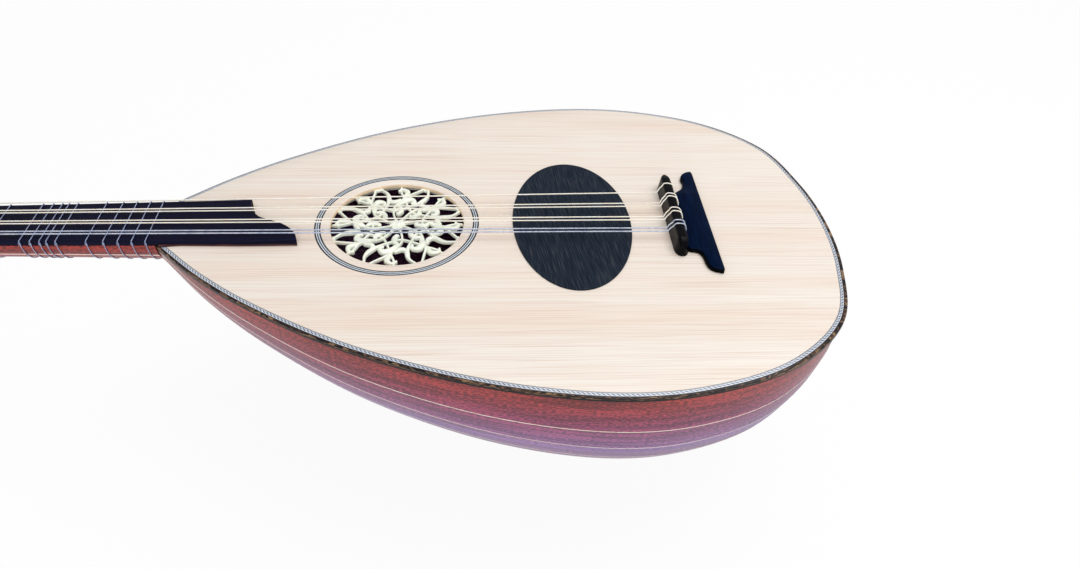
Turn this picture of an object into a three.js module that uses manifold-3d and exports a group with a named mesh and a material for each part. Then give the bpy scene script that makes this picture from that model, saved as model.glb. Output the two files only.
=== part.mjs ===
// A seven-string lavta: a bowl-backed lute with tied frets, lying on its back.
// Millimetres. +X runs from the neck to the tail, +Y to the single string's side, +Z out of the soundboard.
import * as THREE from 'three';
import { mergeVertices } from 'three/addons/utils/BufferGeometryUtils.js';
import Module from 'manifold-3d';

const wasm = await Module();
wasm.setup();

// Driving dimensions
const clearance = 0.3;
const overrun = 2;
const halvings = 30;
const bodyLength = 425;
const bodyHalfWidth = 147.6;
const bowlDepth = 156;
const bridgeShare = 0.74118;
const jointFretGap = 5.3;
const neckSetback = THREE.MathUtils.degToRad(0.27);
const neckTurn = THREE.MathUtils.degToRad(0.8);
const neckOffset = 3;
const pegboxBend = THREE.MathUtils.degToRad(30);

// Half outline of the body: share of the length, of the half width and of the depth, from neck to tail
const bodyShares = [
  [0, 0.146, 0.16],
  [0.074, 0.346, 0.354],
  [0.158, 0.525, 0.517],
  [0.304, 0.76, 0.732],
  [0.484, 0.937, 0.905],
  [0.645, 1, 0.99],
  [0.753, 0.97, 0.998],
  [0.86, 0.861, 0.937],
  [0.949, 0.64, 0.726],
  [0.988, 0.324, 0.368],
  [1, 0, 0],
];

// Soundboard and its trim
const soundboardThickness = 2.5;
const purflingWidth = 2.5;
const purflingThickness = 1.6;
const bandThickness = 1;
const bandTailThickness = 2;
const bandHeight = 4.6;
const bandTailHeight = 8;
const tailThickeningShare = 0.72;
const tailDeepeningShare = 0.97;
const outlineSteps = 3;

// Bowl
const ribCount = 19;
const ribThickness = 2;
const edgeRibAngle = THREE.MathUtils.degToRad(12.4);
const ribSteps = 2;
const ribLeastWidth = 0.7;

// Blocks and braces inside the bowl
const neckBlockStartShare = 0.02;
const neckBlockLength = 38;
const tailBlockShare = 0.93;
const tailBlockEndShare = 0.975;
const blockInset = 2.9;
const blockSteps = 5;
const braceWidth = 6;
const braceHeight = 14;
const braceEndShare = 0.333;
const braceShares = [0.2, 0.47, 0.63];

// Rosette, its ring and the pickguard
const rosetteShare = 0.3386;
const soundholeRadius = 43;
const rosetteRimOverlap = 3;
const rosetteThickness = 3;
const rosetteRimWidth = 2.6;
const rosetteFold = 8;
const piercingStepsPerPoint = 1.5;

// Piercings of one fold: share of the rim's inner radius and of the half fold; the paired ones are mirrored
const piercingShares = [
  [[0.13, 0], [0.3, 0.62], [0.42, 0.6], [0.55, 0], [0.42, -0.6], [0.3, -0.62]],
  [[0.83, 0], [0.93, 0.3], [0.98, 0], [0.93, -0.3]],
  [[0.87, 1], [0.98, 0.8], [0.98, 1.2]],
];
const pairedPiercingShares = [
  [[0.5, 0.78], [0.6, 0.3], [0.74, 0.15], [0.86, 0.5], [0.76, 0.88], [0.62, 0.93]],
];
const ringInnerRadius = 48.8;
const ringOuterRadius = 52.5;
const ringDepth = 0.9;
const pickguardShare = 0.603;
const pickguardLength = 77;
const pickguardWidth = 133;
const pickguardThickness = 0.7;
const roundSegments = 20;

// Neck and fingerboard
const nutHalfWidth = 16.4;
const jointHalfWidth = 20.6;
const neckFlareShare = 2.3;
const neckDepthAtNut = 15;
const neckDepthAtJoint = 21;
const neckSteps = 8;
const neckArcSteps = 8;
const fingerboardThickness = 3;
const tongueShortLength = 49.5;
const tongueLongLength = 84.5;

// The tongue's swept end, far side first: share of the way from short to long, and of the half width
const tongueShares = [
  [0, 1],
  [0.014, 0.74],
  [0.06, 0.51],
  [0.23, 0.17],
  [0.47, -0.015],
  [0.68, -0.19],
  [0.83, -0.4],
  [0.93, -0.62],
  [0.98, -0.85],
  [1, -1],
];

// Nut
const nutLength = 5;
const nutRise = 2.4;
const nutSlotDepth = 0.6;
const nutSlotWidth = 1.5;

// Pegbox and pegs
const pegboxLength = 150;
const pegboxEndHalfWidth = 11;
const pegboxEndDepth = 19;
const pegboxDepth = 19.5;
const pegboxEndRadius = 7;
const cheekThickness = 4;
const pegboxFloor = 4;
const troughStart = 4;
const troughEnd = 8;
const pegCount = 7;
const firstPegShare = 0.15333;
const pegSpacingShare = 0.12;
const pegAxisDepth = 8.8;
const pegHeadRadius = 4.3;
const pegTipRadius = 3.3;
const pegProjection = 4;
const pegNeckLength = 6;
const pegCollarRadius = 5.6;
const pegCollarLength = 3;
const pegTipEdgeShare = 0.7;
const pegThumbLength = 21;
const pegThumbHalfWidth = 10.5;
const pegThumbHalfThickness = 4;
const pegSegments = 10;
const pegThumbRings = 6;
const pegRunningClearance = 0.3;

// Strings
const stringRadius = 0.42;
const bassStringRadius = 0.5;
const stringSides = 5;
const bridgeSpread = 24.3;
const bridgeCourseShares = [1, 0.434, -0.179, -0.675];
const nutSpread = 14.1;
const nutCourseShares = [1, 0.525, -0.08, -0.72];
const bridgePairHalfGap = 1.7;
const nutPairHalfGap = 1;
const stringHeightAtBridge = 6.5;
const stringEndHeight = 3.5;
const stringCornerSteps = 3;
const stringBendShare = 0.3;
const windingTurns = 2.25;
const windingSteps = 12;
const windingPitch = 1.5;
const windingShares = [0.64, 0.45, 0.2, -0.05, -0.3, -0.5, -0.62];
const pegOrder = [0, 2, 4, 6, 5, 3, 1];

// Bridge
const bridgeOffset = 3;
const stringKnotLength = 3.3;
const bridgeBlockHalfLength = 38.3;
const bridgeBlockWidth = 9.2;
const bridgeBlockHeight = 11;
const bridgeCorner = 2.2;
const bridgePlateThickness = 3;
const bridgePlateDepth = 18.5;
const bridgePlateHalfLength = 52.4;
const bridgeWaistHalfLength = 31;
const bridgeTipWidth = 7;
const bridgePlateOffset = 1.6;
const bridgeCornerSteps = 4;
const stringHoleRadius = 0.95;
const stringHoleSegments = 8;
const smallSegments = 6;

// Tied frets, from the joint towards the nut, in commas of which an octave has 53
const commasInOctave = 53;
const fretCommaShares = [57, 55.1, 53.2, 51.3, 49.1, 45.4, 44.3, 43.5, 42.4, 41.2, 37.5];
const fretRadius = 0.4;
const fretSides = 5;
const fretKnotRadius = 0.95;

// The speaking length of the strings follows from the fret at the joint and its pitch
const jointToBridge = bridgeShare * bodyLength;
const scaleLength = (jointToBridge + jointFretGap) * 2 ** (fretCommaShares[0] / commasInOctave);
const nutX = jointToBridge - scaleLength;
const yAxis = new THREE.Vector3(0, 1, 0);
const fingerboardTop = clearance + fingerboardThickness;

function closedMesh(vertices, triangles) {
  let volume = 0;
  for (const [a, b, c] of triangles) {
    volume += vertices[a].dot(new THREE.Vector3().crossVectors(vertices[b], vertices[c]));
  }
  const order = volume > 0 ? triangles.flat() : triangles.map(([a, b, c]) => [a, c, b]).flat();
  const geometry = new THREE.BufferGeometry().setFromPoints(vertices);
  geometry.setIndex(order);
  return geometry;
}

// Joins rings of points into a tube, with flat ends or closed on itself
function loft(rings, closed = false) {
  const count = rings[0].length;
  const triangles = [];
  const spans = closed ? rings.length : rings.length - 1;
  for (let i = 0; i < spans; i += 1) {
    const next = (i + 1) % rings.length;
    for (let j = 0; j < count; j += 1) {
      const a = i * count + j;
      const b = i * count + (j + 1) % count;
      const c = next * count + j;
      const d = next * count + (j + 1) % count;
      triangles.push([a, c, b], [b, c, d]);
    }
  }
  if (!closed) {
    const last = (rings.length - 1) * count;
    for (let j = 1; j < count - 1; j += 1) {
      triangles.push([0, j, j + 1], [last, last + j + 1, last + j]);
    }
  }
  return closedMesh(rings.flat(), triangles);
}

// A round cord along a polyline, its rings turned as little as possible from point to point
function cord(points, radius, sides, closed = false) {
  const count = points.length;
  const rings = [];
  let side = null;
  points.forEach((point, i) => {
    const before = closed ? points[(i + count - 1) % count] : points[Math.max(i - 1, 0)];
    const after = closed ? points[(i + 1) % count] : points[Math.min(i + 1, count - 1)];
    const inward = point.clone().sub(before);
    const outward = after.clone().sub(point);
    const tangent = (inward.lengthSq() ? inward.normalize() : outward.clone())
      .add(outward.lengthSq() ? outward.normalize() : inward).normalize();
    side = side ?? new THREE.Vector3().crossVectors(tangent, Math.abs(tangent.y) < 0.9
      ? yAxis : new THREE.Vector3(1, 0, 0));
    side.addScaledVector(tangent, -side.dot(tangent)).normalize();
    const normal = new THREE.Vector3().crossVectors(tangent, side);
    rings.push(Array.from({ length: sides }, (_, k) => {
      const angle = 2 * Math.PI * k / sides;
      return point.clone().addScaledVector(side, radius * Math.cos(angle))
        .addScaledVector(normal, radius * Math.sin(angle));
    }));
  });
  return loft(rings, closed);
}

function toSolid(geometry) {
  const bare = new THREE.BufferGeometry();
  bare.setAttribute('position', geometry.getAttribute('position').clone());
  if (geometry.index) bare.setIndex(geometry.index.clone());
  const merged = mergeVertices(bare);
  return new wasm.Manifold(new wasm.Mesh({
    numProp: 3,
    vertProperties: new Float32Array(merged.getAttribute('position').array),
    triVerts: new Uint32Array(merged.index.array),
  }));
}

function toGeometry(solid) {
  const mesh = solid.getMesh();
  const geometry = new THREE.BufferGeometry();
  geometry.setAttribute('position', new THREE.BufferAttribute(mesh.vertProperties.slice(), 3));
  geometry.setIndex([...mesh.triVerts]);
  return geometry;
}

function shapeOf(points) {
  return new THREE.Shape(points.map(([x, y]) => new THREE.Vector2(x, y)));
}

// A plan outline made thick from z = low to z = high
function plate(shape, low, high, curveSegments = roundSegments) {
  const depth = high - low;
  const geometry = new THREE.ExtrudeGeometry(shape, { depth, bevelEnabled: false, curveSegments });
  return geometry.translate(0, 0, low);
}

// A side outline of x and z made thick across y
function slab(shape, halfWidth, curveSegments = roundSegments) {
  const depth = 2 * halfWidth;
  const geometry = new THREE.ExtrudeGeometry(shape, { depth, bevelEnabled: false, curveSegments });
  return geometry.rotateX(Math.PI / 2).translate(0, halfWidth, 0);
}

// A cross outline of y and z made thick along x
function bar(shape, low, high) {
  const geometry = new THREE.ExtrudeGeometry(shape, { depth: high - low, bevelEnabled: false });
  const turn = new THREE.Matrix4().set(0, 0, 1, low, 1, 0, 0, 0, 0, 1, 0, 0, 0, 0, 0, 1);
  return geometry.applyMatrix4(turn);
}

const model = new THREE.Group();
const bodyGroup = new THREE.Group();
bodyGroup.position.set(0, neckOffset, 0);
bodyGroup.rotation.z = -neckTurn;
model.add(bodyGroup);
const neckGroup = new THREE.Group();
neckGroup.rotation.y = -neckSetback;
const pegboxGroup = new THREE.Group();
pegboxGroup.position.set(nutX - nutLength - clearance, 0, 0);
pegboxGroup.rotation.y = -pegboxBend;
model.add(neckGroup);
neckGroup.add(pegboxGroup);
model.updateMatrixWorld(true);

function add(group, name, geometry, color, roughness) {
  const mesh = new THREE.Mesh(geometry, new THREE.MeshStandardMaterial({ color, roughness, metalness: 0 }));
  mesh.name = name;
  group.add(mesh);
  return mesh;
}

// The body's half profile, a curve of (x, half width, depth), mirrored past the tail so that it ends blunt
const halfProfile = bodyShares.map(([along, width, depth]) => new THREE.Vector3(
  along * bodyLength, width * bodyHalfWidth, depth * bowlDepth));
const mirrored = halfProfile.slice(0, -1).reverse().map((p) => new THREE.Vector3(p.x, -p.y, -p.z));
const profile = new THREE.CatmullRomCurve3([...halfProfile, ...mirrored], false, 'centripetal');
const profileSpans = bodyShares.length - 1;

function profileAt(u) {
  return profile.getPoint(u / 2);
}

function rimPoint(u, offset) {
  const here = profileAt(u);
  const tangent = profile.getTangent(u / 2);
  const size = Math.hypot(tangent.x, tangent.y);
  return [Math.max(here.x - offset * tangent.y / size, 0), here.y + offset * tangent.x / size];
}

// u where the profile reaches a place along the body
function profileParameter(x) {
  return lastPassing((u) => profileAt(u).x < x, 0, 1);
}

// The rim from the neck round the tail and back, moved outwards by offsetAt(u)
function rimLine(offsetAt) {
  const steps = profileSpans * outlineSteps;
  const half = Array.from({ length: steps + 1 }, (_, i) => rimPoint(i / steps, offsetAt(i / steps)));
  return [...half.map(([x, y]) => [x, -y]), ...half.slice(0, -1).reverse()];
}

function tailShare(u) {
  return THREE.MathUtils.smoothstep(profileAt(u).x, tailThickeningShare * bodyLength, bodyLength);
}

function bandOuter(u) {
  return clearance + THREE.MathUtils.lerp(bandThickness, bandTailThickness, tailShare(u));
}

function bandHeightAt(u) {
  const rise = THREE.MathUtils.smoothstep(profileAt(u).x, tailDeepeningShare * bodyLength, bodyLength);
  return THREE.MathUtils.lerp(bandHeight, bandTailHeight, rise);
}

// Soundboard, cut for the soundhole, for the ring let in round it and for the strip let in along its edge
const rosetteX = rosetteShare * bodyLength;
function annulus(outer, inner) {
  const shape = new THREE.Shape().absarc(rosetteX, 0, outer, 0, 2 * Math.PI, false);
  shape.holes.push(new THREE.Path().absarc(rosetteX, 0, inner, 0, 2 * Math.PI, true));
  return shape;
}

const soundboardShape = shapeOf(rimLine(() => 0));
soundboardShape.holes.push(new THREE.Path().absarc(rosetteX, 0, soundholeRadius, 0, 2 * Math.PI, true));
const ringGroove = plate(annulus(ringOuterRadius + clearance, ringInnerRadius - clearance),
  -ringDepth - clearance, overrun);
const rabbetInner = rimLine(() => -purflingWidth - clearance).reverse();
const rabbetInnerY = rabbetInner[0][1];
const rabbetShape = shapeOf([
  [-overrun, -2 * rabbetInnerY], ...rimLine(() => overrun), [-overrun, 2 * rabbetInnerY],
  [-overrun, rabbetInnerY], ...rabbetInner, [-overrun, -rabbetInnerY],
]);
const rabbet = plate(rabbetShape, -purflingThickness - clearance, overrun);
const soundboard = toSolid(plate(soundboardShape, -soundboardThickness, 0))
  .subtract(toSolid(ringGroove)).subtract(toSolid(rabbet));
add(bodyGroup, 'soundboard', toGeometry(soundboard), 0xf0e6d8, 0.5);
const ring = plate(annulus(ringOuterRadius, ringInnerRadius), -ringDepth, 0);
add(bodyGroup, 'rosette_ring', ring, 0x8d9aa6, 0.4);

// Edge strip let in round the soundboard
const edgeShape = shapeOf([...rimLine(() => 0), ...rimLine(() => -purflingWidth).reverse()]);
add(bodyGroup, 'edge_purfling', plate(edgeShape, -purflingThickness, 0), 0xb4bcc2, 0.4);

// Side band that covers the ribs' upper edges, thicker and deeper round the tail
function bandRings() {
  const steps = profileSpans * outlineSteps;
  const half = Array.from({ length: steps + 1 }, (_, i) => {
    const u = i / steps;
    const [innerX, innerY] = rimPoint(u, clearance);
    const [outerX, outerY] = rimPoint(u, bandOuter(u));
    const low = -bandHeightAt(u);
    return [[outerX, outerY, 0], [outerX, outerY, low], [innerX, innerY, low], [innerX, innerY, 0]];
  });
  const sideRings = (rings, side) => rings.map((points) => points.map(
    ([x, y, z]) => new THREE.Vector3(x, side * y, z)));
  return [...sideRings(half, 1), ...sideRings(half.slice(0, -1).reverse(), -1)];
}
add(bodyGroup, 'side_band', loft(bandRings()), 0x4b3c41, 0.45);

// A point inset from the bowl's surface: u runs from neck to tail, angle from the far rim to the near
function bowlPoint(u, angle, inset) {
  const at = (v, a) => {
    const p = profileAt(v);
    return new THREE.Vector3(p.x, p.y * Math.cos(a), -p.z * Math.sin(a));
  };
  const step = 0.001;
  const alongU = at(Math.min(u + step, 1), angle).sub(at(Math.max(u - step, 0), angle));
  const alongAngle = at(u, angle + step).sub(at(u, angle - step));
  const normal = new THREE.Vector3().crossVectors(alongU, alongAngle).normalize();
  const point = at(u, angle);
  if (normal.dot(new THREE.Vector3(0, point.y, point.z)) < 0) normal.negate();
  point.addScaledVector(normal, -inset);
  point.x = Math.max(point.x, 0);
  return point;
}

// The largest or smallest value between two that still passes a test, found by halving
function lastPassing(passes, from, to) {
  let good = from;
  let bad = to;
  for (let i = 0; i < halvings; i += 1) {
    const middle = (good + bad) / 2;
    if (passes(middle)) good = middle;
    else bad = middle;
  }
  return good;
}

// One rib between two angles, trimmed where it meets the band
function ribGeometry(index) {
  const inner = (Math.PI - 2 * edgeRibAngle) / (ribCount - 2);
  const from = index === 0 ? 0 : edgeRibAngle + (index - 1) * inner;
  const to = index === ribCount - 1 ? Math.PI : edgeRibAngle + index * inner;
  const outset = -clearance - bandThickness;
  const span = (u) => {
    const { y: width, z: depth } = profileAt(u);
    const limit = -bandHeightAt(u) - clearance;
    const below = (angle) => bowlPoint(u, angle, outset + ribThickness).z < limit;
    const bandAngle = lastPassing(below, Math.PI / 2, 0);
    const halfGap = clearance / (width + depth);
    return [Math.max(from + halfGap, bandAngle), Math.min(to - halfGap, Math.PI - bandAngle), width];
  };
  const wideEnough = (u) => {
    const [start, end, width] = span(u);
    return (end - start) * width > ribLeastWidth;
  };
  const first = wideEnough(0) ? 0 : lastPassing(wideEnough, 0.5, 0);
  const last = lastPassing(wideEnough, 0.5, 1);
  const steps = profileSpans * ribSteps;
  const rings = Array.from({ length: steps + 1 }, (_, i) => {
    const u = THREE.MathUtils.lerp(first, last, i / steps);
    const [start, end] = span(u);
    return [
      bowlPoint(u, start, outset), bowlPoint(u, end, outset),
      bowlPoint(u, end, outset + ribThickness), bowlPoint(u, start, outset + ribThickness),
    ];
  });
  return loft(rings);
}
for (let i = 0; i < ribCount; i += 1) {
  add(bodyGroup, `rib_${i + 1}`, ribGeometry(i), 0x8a4538, 0.35);
}

// A block that fills the bowl's inside between two places, flat under the soundboard
function blockGeometry(uStart, uEnd) {
  const top = -soundboardThickness - clearance;
  const rings = [];
  for (let i = 0; i <= blockSteps; i += 1) {
    const u = THREE.MathUtils.lerp(uStart, uEnd, i / blockSteps);
    const ring = Array.from({ length: neckArcSteps + 1 }, (_, j) => {
      const point = bowlPoint(u, Math.PI * j / neckArcSteps, blockInset);
      point.z = Math.min(point.z, top);
      return point;
    });
    rings.push(ring);
  }
  return loft(rings);
}
const neckBlock = blockGeometry(neckBlockStartShare, profileParameter(neckBlockLength));
const tailBlock = blockGeometry(profileParameter(tailBlockShare * bodyLength), tailBlockEndShare);
add(bodyGroup, 'neck_block', neckBlock, 0xcdb58a, 0.7);
add(bodyGroup, 'tail_block', tailBlock, 0xcdb58a, 0.7);

// Braces glued across under the soundboard, their ends cut to the bowl
function braceGeometry(x) {
  const { y: width, z: depth } = profileAt(profileParameter(x));
  const top = -soundboardThickness - clearance;
  const innerWidth = width - ribThickness - 2 * clearance;
  const half = (z) => innerWidth * Math.sqrt(1 - (z / (depth - ribThickness)) ** 2) - ribThickness;
  const low = top - braceHeight;
  const endLow = top - braceEndShare * braceHeight;
  const shape = shapeOf([[half(top), top], [-half(top), top], [-half(top), endLow],
    [-half(low) + braceHeight, low], [half(low) - braceHeight, low], [half(top), endLow]]);
  return bar(shape, x - braceWidth / 2, x + braceWidth / 2);
}
braceShares.forEach((share, i) => {
  add(bodyGroup, `brace_${i + 1}`, braceGeometry(share * bodyLength), 0xe2cfa6, 0.7);
});

// Carved rosette glued under the soundhole: a disc pierced eight-fold, with the vines left between
function piercing(outline, fold, side) {
  const rim = soundholeRadius - rosetteRimWidth;
  const points = outline.map(([radiusShare, turnShare]) => {
    const angle = (2 * fold + 1 + side * turnShare) * Math.PI / rosetteFold;
    const radius = radiusShare * rim;
    return new THREE.Vector3(rosetteX + radius * Math.cos(angle), radius * Math.sin(angle), 0);
  });
  const curve = new THREE.CatmullRomCurve3(points, true, 'centripetal');
  const smooth = curve.getPoints(Math.round(piercingStepsPerPoint * outline.length)).slice(0, -1);
  return new THREE.Path(smooth.map((p) => new THREE.Vector2(p.x, p.y)));
}

function rosetteShape() {
  const radius = soundholeRadius + rosetteRimOverlap;
  const shape = new THREE.Shape().absarc(rosetteX, 0, radius, 0, 2 * Math.PI, false);
  for (let fold = 0; fold < rosetteFold; fold += 1) {
    for (const outline of piercingShares) shape.holes.push(piercing(outline, fold, 1));
    for (const outline of pairedPiercingShares) {
      for (const side of [1, -1]) shape.holes.push(piercing(outline, fold, side));
    }
  }
  return shape;
}
add(bodyGroup, 'rosette', plate(rosetteShape(), -soundboardThickness - clearance - rosetteThickness,
  -soundboardThickness - clearance), 0xe6ebd6, 0.5);

// Pickguard veneer, an oval lying across the soundboard
const pickguardShape = new THREE.Shape().absellipse(pickguardShare * bodyLength, 0,
  pickguardLength / 2, pickguardWidth / 2, 0, 2 * Math.PI, false, 0);
const pickguard = plate(pickguardShape, clearance, clearance + pickguardThickness);
add(bodyGroup, 'pickguard', pickguard, 0x23262c, 0.35);

// Places of the seven strings across the instrument
const strings = bridgeCourseShares.flatMap((share, course) => {
  const sides = course === 0 ? [0] : [1, -1];
  return sides.map((side) => ({
    bridgeY: share * bridgeSpread + side * bridgePairHalfGap,
    nutY: nutCourseShares[course] * nutSpread + side * nutPairHalfGap,
    radius: course === 3 ? bassStringRadius : stringRadius,
  }));
});

// A rounded corner of the tie block, moved outwards by lift: its points from the vertical face to the top
function bridgeCornerPoints(lift, steps) {
  const corner = new THREE.QuadraticBezierCurve(new THREE.Vector2(0, -bridgeCorner), new THREE.Vector2(0, 0),
    new THREE.Vector2(bridgeCorner, 0));
  return Array.from({ length: steps + 1 }, (_, i) => {
    const at = corner.getPoint(i / steps);
    const tangent = corner.getTangent(i / steps);
    return [at.x - tangent.y * lift, bridgeBlockHeight + at.y + tangent.x * lift];
  });
}

// Bridge: a rounded tie block, and behind it a low plate with a straight edge and two swept tips
function bridgeSolid() {
  const front = bridgeCornerPoints(0, bridgeCornerSteps);
  const back = [...front].reverse().map(([x, z]) => [bridgeBlockWidth - x, z]);
  const side = shapeOf([[0, clearance], [bridgeBlockWidth, clearance], ...[...front, ...back].reverse()]);
  const cornerX = bridgeBlockWidth / 2;
  const blockPlan = new THREE.Shape();
  blockPlan.moveTo(0, -bridgeBlockHalfLength + cornerX);
  blockPlan.absarc(cornerX, -bridgeBlockHalfLength + cornerX, cornerX, Math.PI, 2 * Math.PI, false);
  blockPlan.lineTo(bridgeBlockWidth, bridgeBlockHalfLength - cornerX);
  blockPlan.absarc(cornerX, bridgeBlockHalfLength - cornerX, cornerX, 0, Math.PI, false);
  let solid = toSolid(slab(side, bridgeBlockHalfLength))
    .intersect(toSolid(plate(blockPlan, 0, bridgeBlockHeight + overrun, smallSegments)));
  solid = solid.translate(0, bridgeOffset, 0);
  for (const string of strings) {
    const length = bridgeBlockWidth + 2 * overrun;
    const hole = new THREE.CylinderGeometry(stringHoleRadius, stringHoleRadius, length, stringHoleSegments);
    hole.rotateZ(Math.PI / 2).translate(bridgeBlockWidth / 2, string.bridgeY, stringHeightAtBridge);
    solid = solid.subtract(toSolid(hole));
  }
  const plan = new THREE.Shape();
  const inner = bridgeBlockWidth - overrun;
  const plateBack = bridgeBlockWidth + bridgePlateDepth;
  const tipInner = plateBack - bridgeTipWidth;
  const waist = bridgeWaistHalfLength;
  const middle = (waist + bridgePlateHalfLength) / 2;
  plan.moveTo(inner, -waist);
  plan.quadraticCurveTo(tipInner, -waist, tipInner, -middle);
  plan.quadraticCurveTo(tipInner, -bridgePlateHalfLength, plateBack, -bridgePlateHalfLength);
  plan.lineTo(plateBack, bridgePlateHalfLength);
  plan.quadraticCurveTo(tipInner, bridgePlateHalfLength, tipInner, middle);
  plan.quadraticCurveTo(tipInner, waist, inner, waist);
  const low = plate(plan, clearance, clearance + bridgePlateThickness, smallSegments);
  return solid.add(toSolid(low.translate(0, bridgePlateOffset, 0)));
}
const bridgeX = jointToBridge + stringKnotLength;
add(bodyGroup, 'bridge', toGeometry(bridgeSolid()).translate(bridgeX, 0, 0), 0x14161a, 0.2);

// Neck: a flat-topped, round-backed bar that deepens towards the body
function neckFlare(x) {
  const along = Math.min(THREE.MathUtils.mapLinear(x, nutX, 0, 0, 1), (tongueShortLength - nutX) / -nutX);
  return Math.max(along, 0) ** neckFlareShare;
}

function neckHalfWidth(x) {
  return THREE.MathUtils.lerp(nutHalfWidth, jointHalfWidth, neckFlare(x));
}

function neckDepth(x) {
  return THREE.MathUtils.lerp(neckDepthAtNut, neckDepthAtJoint, neckFlare(x));
}

function neckGeometry() {
  const start = nutX - nutLength;
  const end = -clearance - neckDepthAtJoint * Math.sin(neckSetback);
  const rings = [];
  for (let i = 0; i <= neckSteps; i += 1) {
    const x = THREE.MathUtils.lerp(start, end, i / neckSteps);
    const slant = i === 0 ? Math.tan(pegboxBend / 2) : 0;
    const turn = i === neckSteps ? Math.tan(neckTurn) : 0;
    rings.push(Array.from({ length: neckArcSteps + 1 }, (_, j) => {
      const angle = Math.PI * j / neckArcSteps;
      const drop = neckDepth(x) * Math.sin(angle);
      const y = neckHalfWidth(x) * Math.cos(angle);
      return new THREE.Vector3(x + drop * slant + y * turn, y, -drop);
    }));
  }
  return loft(rings);
}
add(neckGroup, 'neck', neckGeometry(), 0xa2503a, 0.4);

// Fingerboard: it runs on over the soundboard in a tongue, short on the single string's side
function fingerboardSolid() {
  const start = nutX + clearance;
  const half = neckHalfWidth(tongueShortLength);
  const edge = Array.from({ length: neckSteps }, (_, i) => {
    const x = THREE.MathUtils.lerp(start, tongueShortLength, i / neckSteps);
    return [x, neckHalfWidth(x)];
  });
  const end = tongueShares.map(([along, across]) => [
    THREE.MathUtils.lerp(tongueShortLength, tongueLongLength, along), across * half]);
  const near = edge.map(([x, y]) => [x, -y]);
  const shape = shapeOf([...near, [tongueShortLength, -half], ...end.reverse(), ...edge.reverse()]);
  const board = toSolid(plate(shape, -overrun, fingerboardTop));
  const neckTop = plate(shapeOf([[start - overrun, -bodyHalfWidth], [0, -bodyHalfWidth],
    [0, bodyHalfWidth], [start - overrun, bodyHalfWidth]]), -2 * overrun, clearance);
  const bodyTop = plate(shapeOf([[-overrun, -bodyHalfWidth], [bodyLength, -bodyHalfWidth],
    [bodyLength, bodyHalfWidth], [-overrun, bodyHalfWidth]]), -2 * overrun, clearance);
  bodyTop.rotateY(neckSetback);
  return board.subtract(toSolid(neckTop)).subtract(toSolid(bodyTop));
}
add(neckGroup, 'fingerboard', toGeometry(fingerboardSolid()), 0x1b1c24, 0.4);

// Nut with a slot for each string
function nutGeometry() {
  const top = fingerboardTop + nutRise + nutSlotDepth;
  const half = neckHalfWidth(nutX);
  const slotFloor = top - nutSlotDepth;
  const points = [[-half, clearance], [half, clearance], [half, slotFloor], [half - nutSlotDepth, top]];
  for (const { nutY } of strings) {
    const wall = nutSlotWidth / 2;
    points.push([nutY + wall, top], [nutY + wall, slotFloor], [nutY - wall, slotFloor], [nutY - wall, top]);
  }
  points.push([-half + nutSlotDepth, top], [-half, slotFloor]);
  return bar(shapeOf(points), nutX - nutLength, nutX);
}
add(neckGroup, 'nut', nutGeometry(), 0xf2ead6, 0.4);

// Pegbox: a tapered trough bent back from the neck, with a solid rounded end
function pegX(order) {
  return -(firstPegShare + order * pegSpacingShare) * pegboxLength;
}

function pegboxHalfWidth(x) {
  return THREE.MathUtils.mapLinear(x, 0, -pegboxLength, nutHalfWidth, pegboxEndHalfWidth);
}

function pegboxSolid() {
  const slant = Math.tan(pegboxBend / 2);
  const side = new THREE.Shape();
  side.moveTo(0, 0);
  side.lineTo(-pegboxDepth * slant, -pegboxDepth);
  side.lineTo(-pegboxLength + pegboxEndRadius, -pegboxEndDepth);
  side.quadraticCurveTo(-pegboxLength, -pegboxEndDepth, -pegboxLength, -pegboxEndDepth / 2);
  side.quadraticCurveTo(-pegboxLength, 0, -pegboxLength + pegboxEndRadius, 0);
  const tapered = (inset) => {
    const [front, back] = [overrun, -pegboxLength - overrun];
    const halfAt = (x) => pegboxHalfWidth(x) - inset;
    const plan = shapeOf([[front, halfAt(front)], [back, halfAt(back)],
      [back, -halfAt(back)], [front, -halfAt(front)]]);
    return toSolid(plate(plan, -2 * pegboxDepth, 2 * overrun));
  };
  const outer = toSolid(slab(side, 2 * nutHalfWidth, smallSegments)).intersect(tapered(0));
  const troughBack = -pegboxLength + troughEnd;
  const troughSide = shapeOf([[-troughStart, overrun], [-troughStart, pegboxFloor - pegboxDepth],
    [troughBack, pegboxFloor - pegboxEndDepth], [troughBack, overrun]]);
  const trough = toSolid(slab(troughSide, nutHalfWidth)).intersect(tapered(cheekThickness));
  let solid = outer.subtract(trough);
  for (let order = 0; order < pegCount; order += 1) {
    const x = pegX(order);
    const reach = 2 * pegboxHalfWidth(x) + 2 * overrun;
    const head = pegHeadRadius + pegRunningClearance;
    const tip = pegTipRadius + pegRunningClearance;
    const hole = new THREE.CylinderGeometry(head, tip, reach, pegSegments);
    if (order % 2) hole.rotateX(Math.PI);
    solid = solid.subtract(toSolid(hole.translate(x, 0, -pegAxisDepth)));
  }
  return solid;
}
add(pegboxGroup, 'pegbox', toGeometry(pegboxSolid()), 0x9a4c38, 0.4);

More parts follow.
